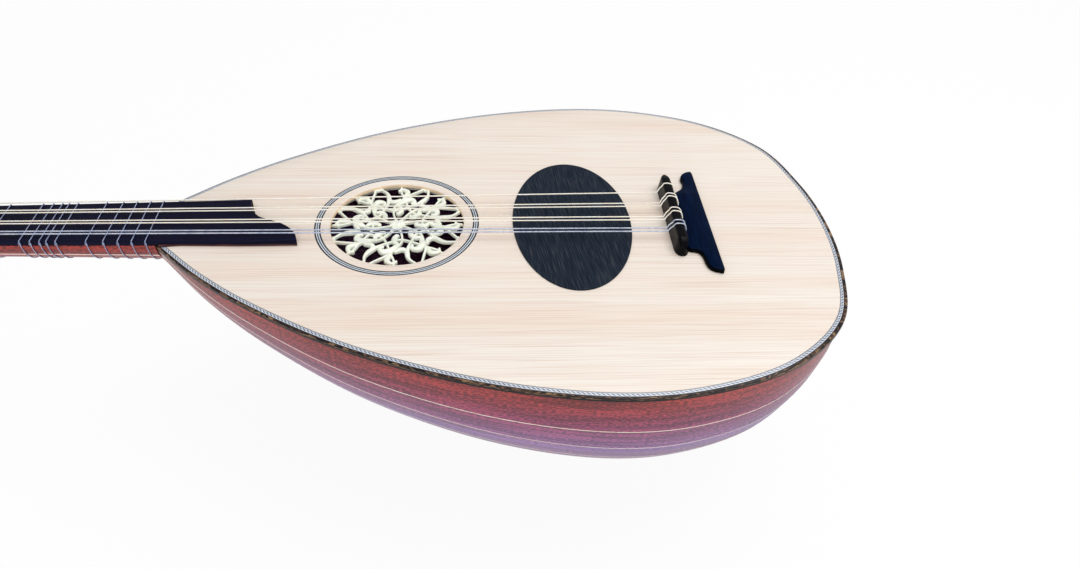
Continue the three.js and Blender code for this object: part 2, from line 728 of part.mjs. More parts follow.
// A tapered friction peg whose flat thumb piece stands out on the side it is turned from
function pegSolid(order) {
  const half = pegboxHalfWidth(pegX(order));
  const reach = half + overrun;
  const radiusAt = (y) => THREE.MathUtils.mapLinear(y, -reach, reach, pegTipRadius, pegHeadRadius);
  const shoulder = half + pegNeckLength;
  const tip = -half - pegProjection;
  const tipEdge = -half - pegProjection / 2;
  const neckMiddle = half + pegNeckLength / 2;
  const collarMiddle = shoulder + pegCollarLength / 2;
  const collarEnd = shoulder + pegCollarLength;
  const stemEnd = collarEnd + pegCollarLength;
  const outline = [
    [0, tip], [pegTipEdgeShare * pegTipRadius, tip], [radiusAt(tipEdge), tipEdge],
    [radiusAt(neckMiddle), neckMiddle], [pegCollarRadius, shoulder], [pegCollarRadius, collarMiddle],
    [pegTipRadius, collarEnd], [pegTipRadius, stemEnd], [0, stemEnd],
  ];
  const shaft = new THREE.LatheGeometry(outline.map(([r, y]) => new THREE.Vector2(r, y)), pegSegments);
  const thumb = new THREE.SphereGeometry(1, pegSegments, pegThumbRings);
  thumb.scale(pegThumbHalfWidth, pegThumbLength / 2, pegThumbHalfThickness);
  thumb.translate(0, shoulder + pegCollarLength + pegThumbLength / 2, 0);
  return toSolid(shaft).add(toSolid(thumb));
}
for (let order = 0; order < pegCount; order += 1) {
  const peg = add(pegboxGroup, `peg_${order + 1}`, toGeometry(pegSolid(order)), 0x1d1a1b, 0.3);
  peg.position.set(pegX(order), 0, -pegAxisDepth);
  if (order % 2) peg.rotation.z = Math.PI;
}

// A string: tied round the bridge block, along to the nut, down to its peg and round it
function stringPoints(string, index) {
  const r = string.radius;
  const rise = clearance + r;
  const corner = bridgeCornerPoints(rise, stringCornerSteps);
  const over = [...corner, ...[...corner].reverse().map(([x, z]) => [bridgeBlockWidth - x, z])];
  const y = string.bridgeY;
  const height = stringHeightAtBridge;
  const route = [[-rise, stringEndHeight], ...over];
  const loop = route.map(([x, z], i) => [x, y + bridgePairHalfGap * (1 - i / route.length), z]);
  const back = bridgeBlockWidth + rise;
  const bend = stringBendShare * rise;
  loop.push([back, y, height + rise], [back - bend, y, height + bend], [back - rise, y, height]);
  loop.push([-stringKnotLength, y, height]);
  const points = loop.map(([x, py, z]) => bodyGroup.localToWorld(new THREE.Vector3(bridgeX + x, py, z)));
  const overNut = fingerboardTop + nutRise + clearance + r;
  for (const x of [nutX + nutLength, nutX - nutLength - rise]) {
    points.push(neckGroup.localToWorld(new THREE.Vector3(x, string.nutY, overNut)));
  }
  const order = pegOrder[index];
  const x = pegX(order);
  const reach = pegboxHalfWidth(x) + overrun;
  const side = order % 2 ? -1 : 1;
  const middleY = windingShares[index] * (pegboxHalfWidth(x) - cheekThickness);
  const turns = windingTurns * windingPitch;
  const steps = Math.round(windingTurns * windingSteps);
  for (let i = 0; i <= steps; i += 1) {
    const t = i / steps;
    const py = middleY + turns * (0.5 - t) * Math.sign(middleY || 1);
    const shaft = THREE.MathUtils.mapLinear(side * py, -reach, reach, pegTipRadius, pegHeadRadius);
    const radius = (shaft + clearance + r) / Math.cos(Math.PI / windingSteps);
    const angle = Math.PI / 2 + 2 * Math.PI * windingTurns * t;
    points.push(pegboxGroup.localToWorld(new THREE.Vector3(x + radius * Math.cos(angle), py,
      -pegAxisDepth + radius * Math.sin(angle))));
  }
  const last = points[points.length - 1];
  points.push(last.clone().sub(points[points.length - 2]).setLength(2 * r).add(last));
  return points;
}

// The least gap between stretches of one cord that lie more than six radii apart along it
function leastGapToItself(points, radius) {
  const dense = [];
  let along = 0;
  for (let i = 1; i < points.length; i += 1) {
    const length = points[i].distanceTo(points[i - 1]);
    const pieces = Math.ceil(length / radius);
    for (let j = 0; j < pieces; j += 1) {
      const point = points[i - 1].clone().lerp(points[i], j / pieces);
      dense.push({ at: along + length * j / pieces, point });
    }
    along += length;
  }
  const nearby = 6 * radius;
  let least = Infinity;
  dense.forEach((a, i) => {
    for (let j = i + 1; j < dense.length; j += 1) {
      if (dense[j].at - a.at > nearby) least = Math.min(least, a.point.distanceTo(dense[j].point));
    }
  });
  return least - 2 * radius;
}
strings.forEach((string, index) => {
  const points = stringPoints(string, index);
  const name = `string_${index + 1}`;
  add(model, name, cord(points, string.radius, stringSides), 0xd9d3c6, 0.35);
  console.log(`${name}: least gap to itself ${leastGapToItself(points, string.radius).toFixed(2)} mm`);
});

// A tied fret: one strand round the fingerboard and the neck, with its knot at the near edge
function fretSolid(x) {
  const lift = clearance + fretRadius;
  const half = neckHalfWidth(x) + lift;
  const slant = lift * Math.SQRT1_2;
  const points = [
    [-half + lift, fingerboardTop + lift], [half - lift, fingerboardTop + lift],
    [half - lift + slant, fingerboardTop + slant], [half, fingerboardTop],
  ];
  for (let i = 0; i <= neckArcSteps; i += 1) {
    const angle = Math.PI * i / neckArcSteps;
    points.push([half * Math.cos(angle), -(neckDepth(x) + lift) * Math.sin(angle)]);
  }
  points.push([-half, fingerboardTop], [-half + lift - slant, fingerboardTop + slant]);
  const loop = cord(points.map(([y, z]) => new THREE.Vector3(x, y, z)), fretRadius, fretSides, true);
  const knot = new THREE.IcosahedronGeometry(fretKnotRadius, 0);
  knot.translate(x, -half - fretKnotRadius / 2, fingerboardTop);
  return toSolid(loop).add(toSolid(knot));
}
fretCommaShares.forEach((commas, i) => {
  const x = jointToBridge - scaleLength * 2 ** (-commas / commasInOctave);
  add(neckGroup, `fret_${i + 1}`, toGeometry(fretSolid(x)), 0xb9c2d2, 0.4);
});

// The origin lies under the middle of the instrument's box, at the bowl's lowest point
model.updateMatrixWorld(true);
const box = new THREE.Box3().setFromObject(model, true);
const middle = box.getCenter(new THREE.Vector3());
model.position.set(-middle.x, -middle.y, -box.min.z);
model.updateMatrixWorld(true);

export default model;
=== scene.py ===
"""A seven-string lavta lying on its back on white paper. Lengths are in mm until they go into a mesh."""

import bmesh
import bpy
import mathutils
import numpy as np
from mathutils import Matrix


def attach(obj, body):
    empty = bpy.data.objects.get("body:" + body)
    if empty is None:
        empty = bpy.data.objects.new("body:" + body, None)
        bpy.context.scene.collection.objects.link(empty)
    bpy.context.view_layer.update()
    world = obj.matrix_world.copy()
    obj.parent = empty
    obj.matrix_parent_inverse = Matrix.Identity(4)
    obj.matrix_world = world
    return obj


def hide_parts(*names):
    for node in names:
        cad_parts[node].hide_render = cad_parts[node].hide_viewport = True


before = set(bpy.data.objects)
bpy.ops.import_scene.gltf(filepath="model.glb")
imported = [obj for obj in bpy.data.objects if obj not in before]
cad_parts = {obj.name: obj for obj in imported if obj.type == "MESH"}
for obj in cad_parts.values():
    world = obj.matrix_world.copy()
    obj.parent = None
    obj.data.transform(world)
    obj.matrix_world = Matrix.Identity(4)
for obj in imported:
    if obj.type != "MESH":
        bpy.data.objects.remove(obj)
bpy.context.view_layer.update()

# Camera and paper
# The instrument lies on matt white paper. The camera looks down at the soundboard at about 42 degrees, from
# the lowest strings' side, as the photograph does.


def turned(axis, degrees, move=(0, 0, 0)):
    """4x4 matrix of a turn about one axis by the right-hand rule, followed by a move."""
    c, s = np.cos(np.radians(degrees)), np.sin(np.radians(degrees))
    i, j = {"X": (1, 2), "Y": (2, 0), "Z": (0, 1)}[axis]
    m = np.eye(4)
    m[i, i], m[i, j], m[j, i], m[j, j] = c, -s, s, c
    m[:3, 3] = move
    return m


# The axes that the body and the neck are drawn in. They meet at the soundboard's end, on the neck's middle
# line, and the neck is turned a little on the body, stands beside its middle and leans back.
NECK_TURN, NECK_LEAN, NECK_ASIDE = 0.8, 0.27, 3
IN_ROW = turned("Z", 0, (32.4417, 0.8514, 156.9031))
IN_BODY = IN_ROW @ turned("Z", -NECK_TURN, (0, NECK_ASIDE, 0))
IN_NECK = IN_ROW @ turned("Y", -NECK_LEAN)


def moved(matrix, points):
    """Points (..., 3) carried by a 4x4 matrix: its turn times the point, plus its move."""
    return points @ matrix[:3, :3].T + matrix[:3, 3]


def linear(hex_colour):
    """An sRGB hex colour such as "c08040" as a linear RGBA tuple, by the sRGB curve."""
    v = np.array([int(hex_colour[i:i + 2], 16) for i in (0, 2, 4)]) / 255
    v = np.where(v <= 0.04045, v / 12.92, ((v + 0.055) / 1.055) ** 2.4)
    return (*v.tolist(), 1.0)


def add_node(material, kind, sockets=(), **settings):
    """Adds one shader node, its kind being its type without ShaderNode. sockets gives its inputs, by name or
    number, a value, an output, or a node whose first output feeds them. settings are its own properties, and
    ramp the colour ramp's stops as (place, hex colour)."""
    tree = material.node_tree
    made = tree.nodes.new("ShaderNode" + kind)
    for key, value in settings.items():
        if key != "ramp":
            setattr(made, key, value)
    for place, colour in settings.get("ramp", ()):
        made.color_ramp.elements.new(place).color = linear(colour)
    if "ramp" in settings:
        made.color_ramp.elements.remove(made.color_ramp.elements[-1])
        made.color_ramp.elements.remove(made.color_ramp.elements[0])
    for key, value in dict(sockets).items():
        if isinstance(value, bpy.types.Node):
            value = value.outputs[0]
        if isinstance(value, bpy.types.NodeSocket):
            tree.links.new(value, made.inputs[key])
        else:
            made.inputs[key].default_value = value
    return made


def new_material(name, roughness, **sockets):
    """A material with a Principled surface. sockets sets more of its inputs, with _ for a space."""
    material = bpy.data.materials.new(name)
    material.use_nodes = True
    surface = material.node_tree.nodes["Principled BSDF"]
    surface.inputs["Roughness"].default_value = roughness
    for key, value in sockets.items():
        surface.inputs[key.replace("_", " ")].default_value = value
    return material, surface


def feed(material, surface, colour, relief=None):
    """Links an output to the surface's colour, and a bump node, where there is one, to its normal."""
    material.node_tree.links.new(colour, surface.inputs["Base Color"])
    if relief is not None:
        material.node_tree.links.new(relief.outputs[0], surface.inputs["Normal"])


FOCAL_PIXELS, PICTURE_WIDE, FILM_WIDE = 797.93, 1080, 36
EYE = (199.8, -412.5, 314.2)
PITCH, YAW, ROLL = 0.7270, 0.0918, 0.0555
forward = np.array([np.sin(YAW) * np.cos(PITCH), np.cos(YAW) * np.cos(PITCH), -np.sin(PITCH)])
right = np.array([np.cos(YAW), -np.sin(YAW), 0])
up = np.cross(right, forward)
look = np.eye(4)
look[:3, 0] = np.cos(ROLL) * right + np.sin(ROLL) * up
look[:3, 1] = np.cos(ROLL) * up - np.sin(ROLL) * right
look[:3, 2] = -forward
look[:3, 3] = EYE
look = IN_BODY @ look
look[:3, 3] /= 1000
camera = bpy.data.objects.new("camera", bpy.data.cameras.new("camera"))
bpy.context.collection.objects.link(camera)
bpy.context.scene.camera = camera
camera.data.sensor_width = FILM_WIDE
camera.data.lens = FOCAL_PIXELS * FILM_WIDE / PICTURE_WIDE
camera.data.clip_start = 0.01
camera.matrix_world = look.T.tolist()

FLOOR_HALF = 20
floor = bpy.data.objects.new("paper_floor", bpy.data.meshes.new("paper_floor"))
corners = np.array([(-1, -1, 0), (1, -1, 0), (1, 1, 0), (-1, 1, 0)]) * FLOOR_HALF
floor.data.from_pydata(corners, [], [(0, 1, 2, 3)])
bpy.context.collection.objects.link(floor)
# Matt paper. Seen straight or in a gloss most of it reads as plain white, and the rest keeps the shadow.
paper, surface = new_material("white_matt_paper", 0.9)
surface.inputs["Base Color"].default_value = linear("fafafa")
path = add_node(paper, "LightPath")
seen = add_node(paper, "Math", {0: path.outputs["Is Camera Ray"], 1: path.outputs["Is Glossy Ray"]},
                operation="MAXIMUM")
seen = add_node(paper, "Math", {0: seen, 1: path.outputs["Is Transmission Ray"]}, operation="MAXIMUM")
share = add_node(paper, "Math", {0: seen, 1: 0.93}, operation="MULTIPLY")
white = add_node(paper, "Emission", {"Color": (1, 1, 1, 1), "Strength": 1.0})
paper_mix = add_node(paper, "MixShader", {0: share, 1: surface, 2: white})
paper.node_tree.links.new(paper_mix.outputs[0], paper.node_tree.nodes["Material Output"].inputs["Surface"])
floor.data.materials.append(paper)

# Ribs of the bowl
# Nineteen thin staves of reddish mahogany, bent over a mould and glued edge to edge, then scraped fair and
# polished to a gloss. Each is widest past the middle and runs to a point at the neck and at the tail.
LENGTH, HALF_WIDTH, DEPTH = 425.0, 147.6, 156.0
# The bowl's outline, seen from above and from the side: shares of the length, the half width and the depth.
BODY_SHARES = np.array([(0, 0.146, 0.16), (0.074, 0.346, 0.354), (0.158, 0.525, 0.517), (0.304, 0.76, 0.732),
                        (0.484, 0.937, 0.905), (0.645, 1, 0.99), (0.753, 0.97, 0.998), (0.86, 0.861, 0.937),
                        (0.949, 0.64, 0.726), (0.988, 0.324, 0.368), (1, 0, 0)])


def centripetal(points, t):
    """Places at t (0 to 1) on a centripetal Catmull-Rom curve: between two points, a cubic whose end slopes
    come from the neighbours, weighted by the square roots of the distances."""
    p = np.vstack([2 * points[0] - points[1], points, 2 * points[-1] - points[-2]])
    spans = len(points) - 1
    i = np.minimum((t * spans).astype(int), spans - 1)
    w = (t * spans - i)[:, None]
    p0, p1, p2, p3 = p[i], p[i + 1], p[i + 2], p[i + 3]
    d = [np.linalg.norm(b - a, axis=1)[:, None] ** 0.5 for a, b in ((p0, p1), (p1, p2), (p2, p3))]
    m1 = ((p1 - p0) / d[0] - (p2 - p0) / (d[0] + d[1]) + (p2 - p1) / d[1]) * d[1]
    m2 = ((p2 - p1) / d[1] - (p3 - p1) / (d[1] + d[2]) + (p3 - p2) / d[2]) * d[1]
    return p1 + m1 * w + (-3 * p1 + 3 * p2 - 2 * m1 - m2) * w ** 2 + (2 * p1 - 2 * p2 + m1 + m2) * w ** 3


half_profile = BODY_SHARES * (LENGTH, HALF_WIDTH, DEPTH)
whole_profile = np.vstack([half_profile, (half_profile * (1, -1, -1))[-2::-1]])


def profile(u):
    """(x, half width, depth) of the bowl at u, from 0 at the neck to 1 at the tail; past 1 it is mirrored."""
    return centripetal(whole_profile, np.clip(u, 0, 2) / 2)


def bowl(u, angle, out):
    """The bowl's surface moved outwards: (x, w cos a, -d sin a) plus out times the unit normal, which is the
    cross product of a small step along u and one along the angle."""
    def at(v, a):
        p = profile(v)
        return np.stack([p[:, 0], p[:, 1] * np.cos(a), -p[:, 2] * np.sin(a)], 1)
    u, angle, out = np.broadcast_arrays(u, angle, out)
    shape = u.shape
    u, angle, out = u.ravel(), angle.ravel(), out.ravel()
    along = at(np.minimum(u + 0.001, 1.0), angle) - at(np.maximum(u - 0.001, 0), angle)
    across = at(u, angle + 0.001) - at(u, angle - 0.001)
    normal = np.cross(along, across)
    normal /= np.linalg.norm(normal, axis=1)[:, None]
    point = at(u, angle)
    normal *= np.sign((normal * point * (0, 1, 1)).sum(1))[:, None]
    point = point + normal * out[:, None]
    point[:, 0] = np.maximum(point[:, 0], 0)
    return point.reshape(*shape, 3)


def run_along(points):
    """Distance along a row of points from its first, in millimetres."""
    return np.concatenate([[0], np.cumsum(np.linalg.norm(np.diff(points, axis=0), axis=1))])


def grid_of(*parts):
    """x, y and z, or u and v, spread over each other's shapes and stacked along a last axis."""
    return np.stack(np.broadcast_arrays(*parts), -1)


def raised(plan, level):
    """Plan points (rows, columns, 2) with heights, spread over rows and columns, as their third part."""
    return np.concatenate([plan, np.broadcast_to(level, plan.shape[:2])[..., None]], -1)


# Points closer than this, in metres, count as one.
DOUBLE = 2e-6


def make_piece(name, grids, matrix, material, body, replaced, uv=None, sharp=35):
    """One piece out of tubes of points. Each grid (rows, columns, 3) is closed across its columns. Its first
    and last rows are closed onto their middles, unless they are the same row. uv, (rows, columns, 2) in mm,
    belongs to a single grid, and runs on by a step across the seam. Doubles are merged and faces turned
    outwards."""
    vertices, faces, base = [], [], 0
    for grid in grids:
        if not np.allclose(grid[0], grid[-1]):
            caps = [np.broadcast_to(row.mean(0), (1, *row.shape)) for row in (grid[0], grid[-1])]
            grid = np.concatenate([caps[0], grid, caps[1]])
            uv = uv if uv is None else np.concatenate([uv[:1], uv, uv[-1:]])
        rows, columns = grid.shape[:2]
        i, j = np.indices((rows - 1, columns))
        j2 = (j + 1) % columns
        around = [i * columns + j, i * columns + j2, (i + 1) * columns + j2, (i + 1) * columns + j]
        faces.append(np.stack(around, -1).reshape(-1, 4) + base)
        vertices.append(grid.reshape(-1, 3))
        base += rows * columns
    quads = np.concatenate(faces)
    mesh = bpy.data.meshes.new(name)
    mesh.from_pydata(moved(matrix, np.concatenate(vertices)) / 1000, [], quads)
    if uv is not None:
        corners = uv.reshape(-1, 2)[quads]
        seam = quads[:, 1] % columns == 0
        beyond = 2 * uv[:, -1] - uv[:, -2]
        corners[seam, 1:3] = beyond[quads[seam, 1:3] // columns]
        mesh.uv_layers.new(name="surface_mm").data.foreach_set("uv", corners.ravel())
    work = bmesh.new()
    work.from_mesh(mesh)
    bmesh.ops.remove_doubles(work, verts=work.verts, dist=DOUBLE)
    bmesh.ops.dissolve_degenerate(work, edges=work.edges, dist=DOUBLE / 20)
    bmesh.ops.recalc_face_normals(work, faces=work.faces)
    work.to_mesh(mesh)
    work.free()
    mesh.shade_smooth()
    mesh.set_sharp_from_angle(angle=np.radians(sharp))
    mesh.materials.append(material)
    piece = bpy.data.objects.new(name, mesh)
    bpy.context.collection.objects.link(piece)
    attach(piece, body)
    if replaced:
        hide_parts(replaced)


def smooth_step(s):
    """0 to 1 with flat ends: 3 s squared less 2 s cubed."""
    s = np.clip(s, 0, 1)
    return s * s * (3 - 2 * s)


BAND_DEEP, BAND_TAIL_DEEP, TAIL_SHARE, BAND_LAP = 3.2, 8.0, 0.03, 0.3


def band_height(u):
    """Height of the side band: 3.2 mm, rising smoothly to 8 mm in the last 3% of the length."""
    share = smooth_step((profile(u)[:, 0] / LENGTH - 1 + TAIL_SHARE) / TAIL_SHARE)
    return BAND_DEEP + (BAND_TAIL_DEEP - BAND_DEEP) * share


def band_angle(u, out):
    """Angle where the bowl, moved out, passes below the side band, by halving between rim and keel."""
    limit = -band_height(u) - BAND_LAP
    low, high = np.zeros_like(u), np.full_like(u, np.pi / 2)
    for _ in range(24):
        middle = (low + high) / 2
        below = bowl(u, middle, out)[:, 2] < limit
        high, low = np.where(below, middle, high), np.where(below, low, middle)
    return high


RIBS, EDGE_RIB, STAVE_ROWS = 19, np.radians(12.4), 97
RIB_OUT, RIB_THICK, RIB_LEAST, RIB_GAP = 0.8, 2.0, 0.7, 0.25
rib_bounds = np.concatenate([[0], np.linspace(EDGE_RIB, np.pi - EDGE_RIB, RIBS - 1), [np.pi]])


def stave_rows(from_angle, to_angle):
    """97 places along a stave, closest at its ends, between the first and last u where it is still 0.7 mm
    wide after the band has cut it."""
    u = np.linspace(0, 0.9995, 2000)
    hidden = band_angle(u, -RIB_LEAST)
    open_angle = np.minimum(to_angle, np.pi - hidden) - np.maximum(from_angle, hidden)
    wide = np.flatnonzero(open_angle * profile(u)[:, 1] > RIB_LEAST)
    return u[wide[0]] + (u[wide[-1]] - u[wide[0]]) * (1 - np.cos(np.linspace(0, np.pi, STAVE_ROWS))) / 2


# Mahogany under a clear polish, with streaks along each stave that short dark pores and lighter flecks, a few
# millimetres long, break up. Its colour by height is partly the wood's own and partly painted reflection in
# the polish: an orange-red painted reflection near the rim, purple and a pale violet painted sheen down the
# sides, and wine red below.
mahogany, surface = new_material("polished_mahogany", 0.4, Specular_IOR_Level=0.3, Coat_Weight=0.12,
                                 Coat_Roughness=0.1)
place = add_node(mahogany, "UVMap", uv_map="surface_mm")
long_streaks = add_node(mahogany, "Mapping", {"Vector": place, "Scale": (0.014, 0.25, 1)})
ribbon = add_node(mahogany, "TexNoise", {"Vector": long_streaks, "Scale": 1.0, "Detail": 4,
                                         "Distortion": 0.4}, noise_dimensions="2D")
short = add_node(mahogany, "Mapping", {"Vector": place, "Scale": (0.42, 1.1, 1)})
flecks = add_node(mahogany, "TexNoise", {"Vector": short, "Scale": 1.0, "Detail": 2}, noise_dimensions="2D")
figure = add_node(mahogany, "Math", {0: flecks, 1: 1.6, 2: -0.8}, operation="MULTIPLY_ADD")
figure = add_node(mahogany, "Math", {0: ribbon, 1: figure}, operation="ADD")
grain = add_node(mahogany, "ValToRGB", {"Fac": figure}, ramp=[(0.25, "56424a"), (0.5, "80787c"),
                                                              (0.75, "bda498")])
where = add_node(mahogany, "TexCoord")
height = add_node(mahogany, "SeparateXYZ", {0: where.outputs["Object"]})
# Painted reflection by height: orange-red at the rim, then a pale violet painted sheen of the white paper
# down the sides, and wine red below.
depth_for_painted_sheen = add_node(mahogany, "MapRange", {"Value": height.outputs[2], "From Min": 0.155, "From Max": 0.0})
tone_and_painted_sheen = add_node(mahogany, "ValToRGB", {"Fac": depth_for_painted_sheen}, ramp=[(0.0, "b4453a"), (0.09, "b04a5c"),
                                                           (0.22, "a65690"), (0.38, "a072c4"),
                                                           (0.6, "925a92"), (1.0, "8c4c64")])
wood = add_node(mahogany, "Mix", {0: 0.85, 6: tone_and_painted_sheen, 7: grain}, data_type="RGBA", blend_type="OVERLAY")
relief = add_node(mahogany, "Bump", {"Strength": 0.06, "Distance": 0.0002, "Height": flecks})
feed(mahogany, surface, wood.outputs[2], relief)

# Each stave's grain starts this much farther on, and to the side, than that of the one before.
GRAIN_ON, GRAIN_ASIDE = 700, 90
across = np.linspace(0, 1, 7)
for number in range(RIBS):
    u = stave_rows(rib_bounds[number], rib_bounds[number + 1])
    joint = RIB_GAP / profile(u)[:, 1:].sum(1)
    hidden = band_angle(u, -RIB_LEAST)
    start = np.maximum(rib_bounds[number] + joint, hidden)
    end = np.minimum(rib_bounds[number + 1] - joint, np.pi - hidden)
    angles = start[:, None] + (end - start)[:, None] * across
    # Half way between the bowl's curve and the flat chord, as a bent stave is after scraping.
    outer = bowl(u[:, None], angles, RIB_OUT)
    chord = outer[:, :1] + (outer[:, -1:] - outer[:, :1]) * across[None, :, None]
    outer = (outer + chord) / 2
    inner = bowl(u[:, None], angles, RIB_OUT - RIB_THICK)
    wide = np.linalg.norm(outer[:, -1] - outer[:, 0], axis=1)
    spread = np.concatenate([across - 0.5, (across - 0.5)[::-1]])
    uv = grid_of(run_along(outer[:, 3])[:, None] + GRAIN_ON * number,
                 wide[:, None] * spread + GRAIN_ASIDE * number)
    make_piece(f"rib_{number + 1}_stave", [np.concatenate([outer, inner[:, ::-1]], 1)], IN_BODY, mahogany,
               "instrument", f"rib_{number + 1}", uv=uv)

# Fillets
# Narrow strips of pale maple glued between the ribs and scraped flush with them. They read as fine light
# lines that run from the neck to the tail.
FILLET_HALF, FILLET_DEEP = 0.42, 0.8
# Maple under a like gloss: nearly plain, with a slight mottle.
maple, surface = new_material("polished_maple", 0.3, Coat_Weight=0.5, Coat_Roughness=0.08)
place = add_node(maple, "TexCoord")
mottle = add_node(maple, "TexNoise", {"Vector": place.outputs["Object"], "Scale": 90, "Detail": 3})
colour = add_node(maple, "ValToRGB", {"Fac": mottle}, ramp=[(0.3, "eccbb8"), (0.7, "fae6da")])
feed(maple, surface, colour.outputs[0])
for number in range(1, RIBS):
    centre = rib_bounds[number]
    u = stave_rows(centre - 0.02, centre + 0.02)
    hidden = band_angle(u, RIB_OUT)[:, None]
    angle = centre + (FILLET_HALF / profile(u)[:, 1:].mean(1))[:, None] * np.array([-1, 0, 1, 1, 0, -1])
    sunk = np.array([0, 0.05, 0, -FILLET_DEEP, -FILLET_DEEP, -FILLET_DEEP])
    strip = bowl(u[:, None], np.clip(angle, hidden, np.pi - hidden), RIB_OUT + sunk)
    make_piece(f"fillet_{number}", [strip], IN_BODY, maple, "instrument", None)

# Blocks and braces
# Plain softwood inside the bowl: a block that takes the neck, a block at the tail, and three braces across
# the soundboard's underside. They keep their shapes and are left raw from the plane.
raw_pine, surface = new_material("planed_softwood", 0.75)
place = add_node(raw_pine, "TexCoord")
stretched = add_node(raw_pine, "Mapping", {"Vector": place.outputs["Object"], "Scale": (60, 700, 300)})
growth = add_node(raw_pine, "TexNoise", {"Vector": stretched, "Scale": 1.0, "Detail": 4})
colour = add_node(raw_pine, "ValToRGB", {"Fac": growth}, ramp=[(0.3, "b99563"), (0.7, "dcc08e")])
feed(raw_pine, surface, colour.outputs[0])
for node in ("neck_block", "tail_block", "brace_1", "brace_2", "brace_3"):
    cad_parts[node].data.materials.clear()
    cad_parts[node].data.materials.append(raw_pine)

# Soundboard
# One thin board of close-grained spruce, its grain along the strings, planed to 2.5 mm and let in round its
# edge and round the soundhole for the inlays.
BOARD = 2.5
HOLE_X, HOLE = 0.3386 * LENGTH, 42.2
RING_IN, RING_OUT, RING_DEEP = 48.3, 52.0, 0.9
EDGE_WIDE, INLAY_GAP, RIM_POINTS = 2.5, 0.15, 801


def rim(u, out):
    """The body's plan outline moved outwards: (x, y) plus out times the unit normal in the plane. u past 1
    comes back along the near side."""
    p, step = profile(u), profile(u + 0.0005) - profile(u - 0.0005)
    size = np.hypot(step[:, 0], step[:, 1])
    return np.stack([np.maximum(p[:, 0] - out * step[:, 1] / size, 0), p[:, 1] + out * step[:, 0] / size], 1)


# Spruce under a thin satin finish: pale cream, faintly banded, with fine warm growth lines about half a
# millimetre apart, and here and there a stronger reddish one. Below its top face, on the soundhole's wall and
# the underside, the board is painted a lighter, warmer cream: painted light on the wall's shade.
spruce, surface = new_material("satin_spruce", 0.45, Coat_Weight=0.1, Coat_Roughness=0.3)
place = add_node(spruce, "TexCoord")
square = add_node(spruce, "Mapping",
                  {"Vector": place.outputs["Object"], "Rotation": (0, 0, np.radians(NECK_TURN))})
wide_bands = add_node(spruce, "Mapping", {"Vector": square, "Scale": (1.6, 45, 1)})
bands = add_node(spruce, "TexNoise", {"Vector": wide_bands, "Scale": 1.0, "Detail": 1})
tone = add_node(spruce, "ValToRGB", {"Fac": bands}, ramp=[(0.32, "f4ede4"), (0.5, "f1e8dd"),
                                                          (0.68, "efe1d4")])
fine = add_node(spruce, "Mapping", {"Vector": square, "Scale": (14, 2500, 1)})
years = add_node(spruce, "TexNoise", {"Vector": fine, "Scale": 1.0, "Detail": 1})
late = add_node(spruce, "MapRange", {"Value": years, "From Min": 0.42, "From Max": 0.62, "To Max": 0.4})
wood = add_node(spruce, "Mix", {0: late, 6: tone, 7: linear("e2cab8")}, data_type="RGBA")
strong = add_node(spruce, "Mapping", {"Vector": square, "Location": (0.3, 0.7, 0), "Scale": (12, 1900, 1)})
strong = add_node(spruce, "TexNoise", {"Vector": strong, "Scale": 1.0, "Detail": 0})
drawn = add_node(spruce, "MapRange", {"Value": strong, "From Min": 0.58, "From Max": 0.68, "To Max": 0.3})
lined = add_node(spruce, "Mix", {0: drawn, 6: wood.outputs[2], 7: linear("cba08a")}, data_type="RGBA")
height = add_node(spruce, "SeparateXYZ", {0: place.outputs["Object"]})
# Painted light: below the top face the colour turns a lighter, warmer cream, which brightens the shaded
# soundhole wall.
below_top_painted_light = add_node(spruce, "MapRange", {"Value": height.outputs[2], "From Min": 0.1568, "From Max": 0.1563})
tone_with_painted_wall_light = add_node(spruce, "Mix", {0: below_top_painted_light, 6: lined.outputs[2], 7: linear("ffe4c2")}, data_type="RGBA")
relief = add_node(spruce, "Bump", {"Strength": 0.06, "Distance": 0.0002, "Height": years})
feed(spruce, surface, tone_with_painted_wall_light.outputs[2], relief)

edge = rim(np.linspace(0, 2, RIM_POINTS), -EDGE_WIDE - INLAY_GAP)
edge = np.concatenate([edge, edge[-1:] + (edge[:1] - edge[-1:]) * np.linspace(0.02, 0.98, 48)[:, None]])
bearing = np.arctan2(edge[:, 1], edge[:, 0] - HOLE_X)
facing = np.stack([np.cos(bearing), np.sin(bearing)], 1)
# From the foot of the hole's wall over its rounded edge, through the ring's groove and out to the edge
# strip's step: radii up to the groove, then shares of the way to the edge, and the height of each.
radii = np.concatenate([HOLE + np.array([0, 0, 0.25, 0.8]),
                        [RING_IN - INLAY_GAP] * 2, [RING_OUT + INLAY_GAP] * 2])
heights = np.array([-BOARD, -0.9, -0.25, 0, 0, -RING_DEEP - 0.1, -RING_DEEP - 0.1, 0])
shares = np.array([0.05, 0.2, 0.4, 0.6, 0.8, 0.995, 1, 1, 0.5])
levels = np.array([0, 0, 0, 0, 0, 0, -0.1, -BOARD, -BOARD])
rings = (HOLE_X, 0) + radii[None, :, None] * facing[:, None]
spread = rings[:, -1:] + (edge - rings[:, -1])[:, None] * shares[None, :, None]
board = raised(np.concatenate([rings, spread], 1), np.concatenate([heights, levels]))
make_piece("spruce_soundboard", [np.concatenate([board, board[:1]])], IN_BODY, spruce, "instrument",
           "soundboard")

# Edge strip and soundhole ring
# Inlaid lines of dyed slips glued side by side, with a rope of pale slips cut aslant between dark ones. The
# edge strip is rolled over a little towards the band by scraping.


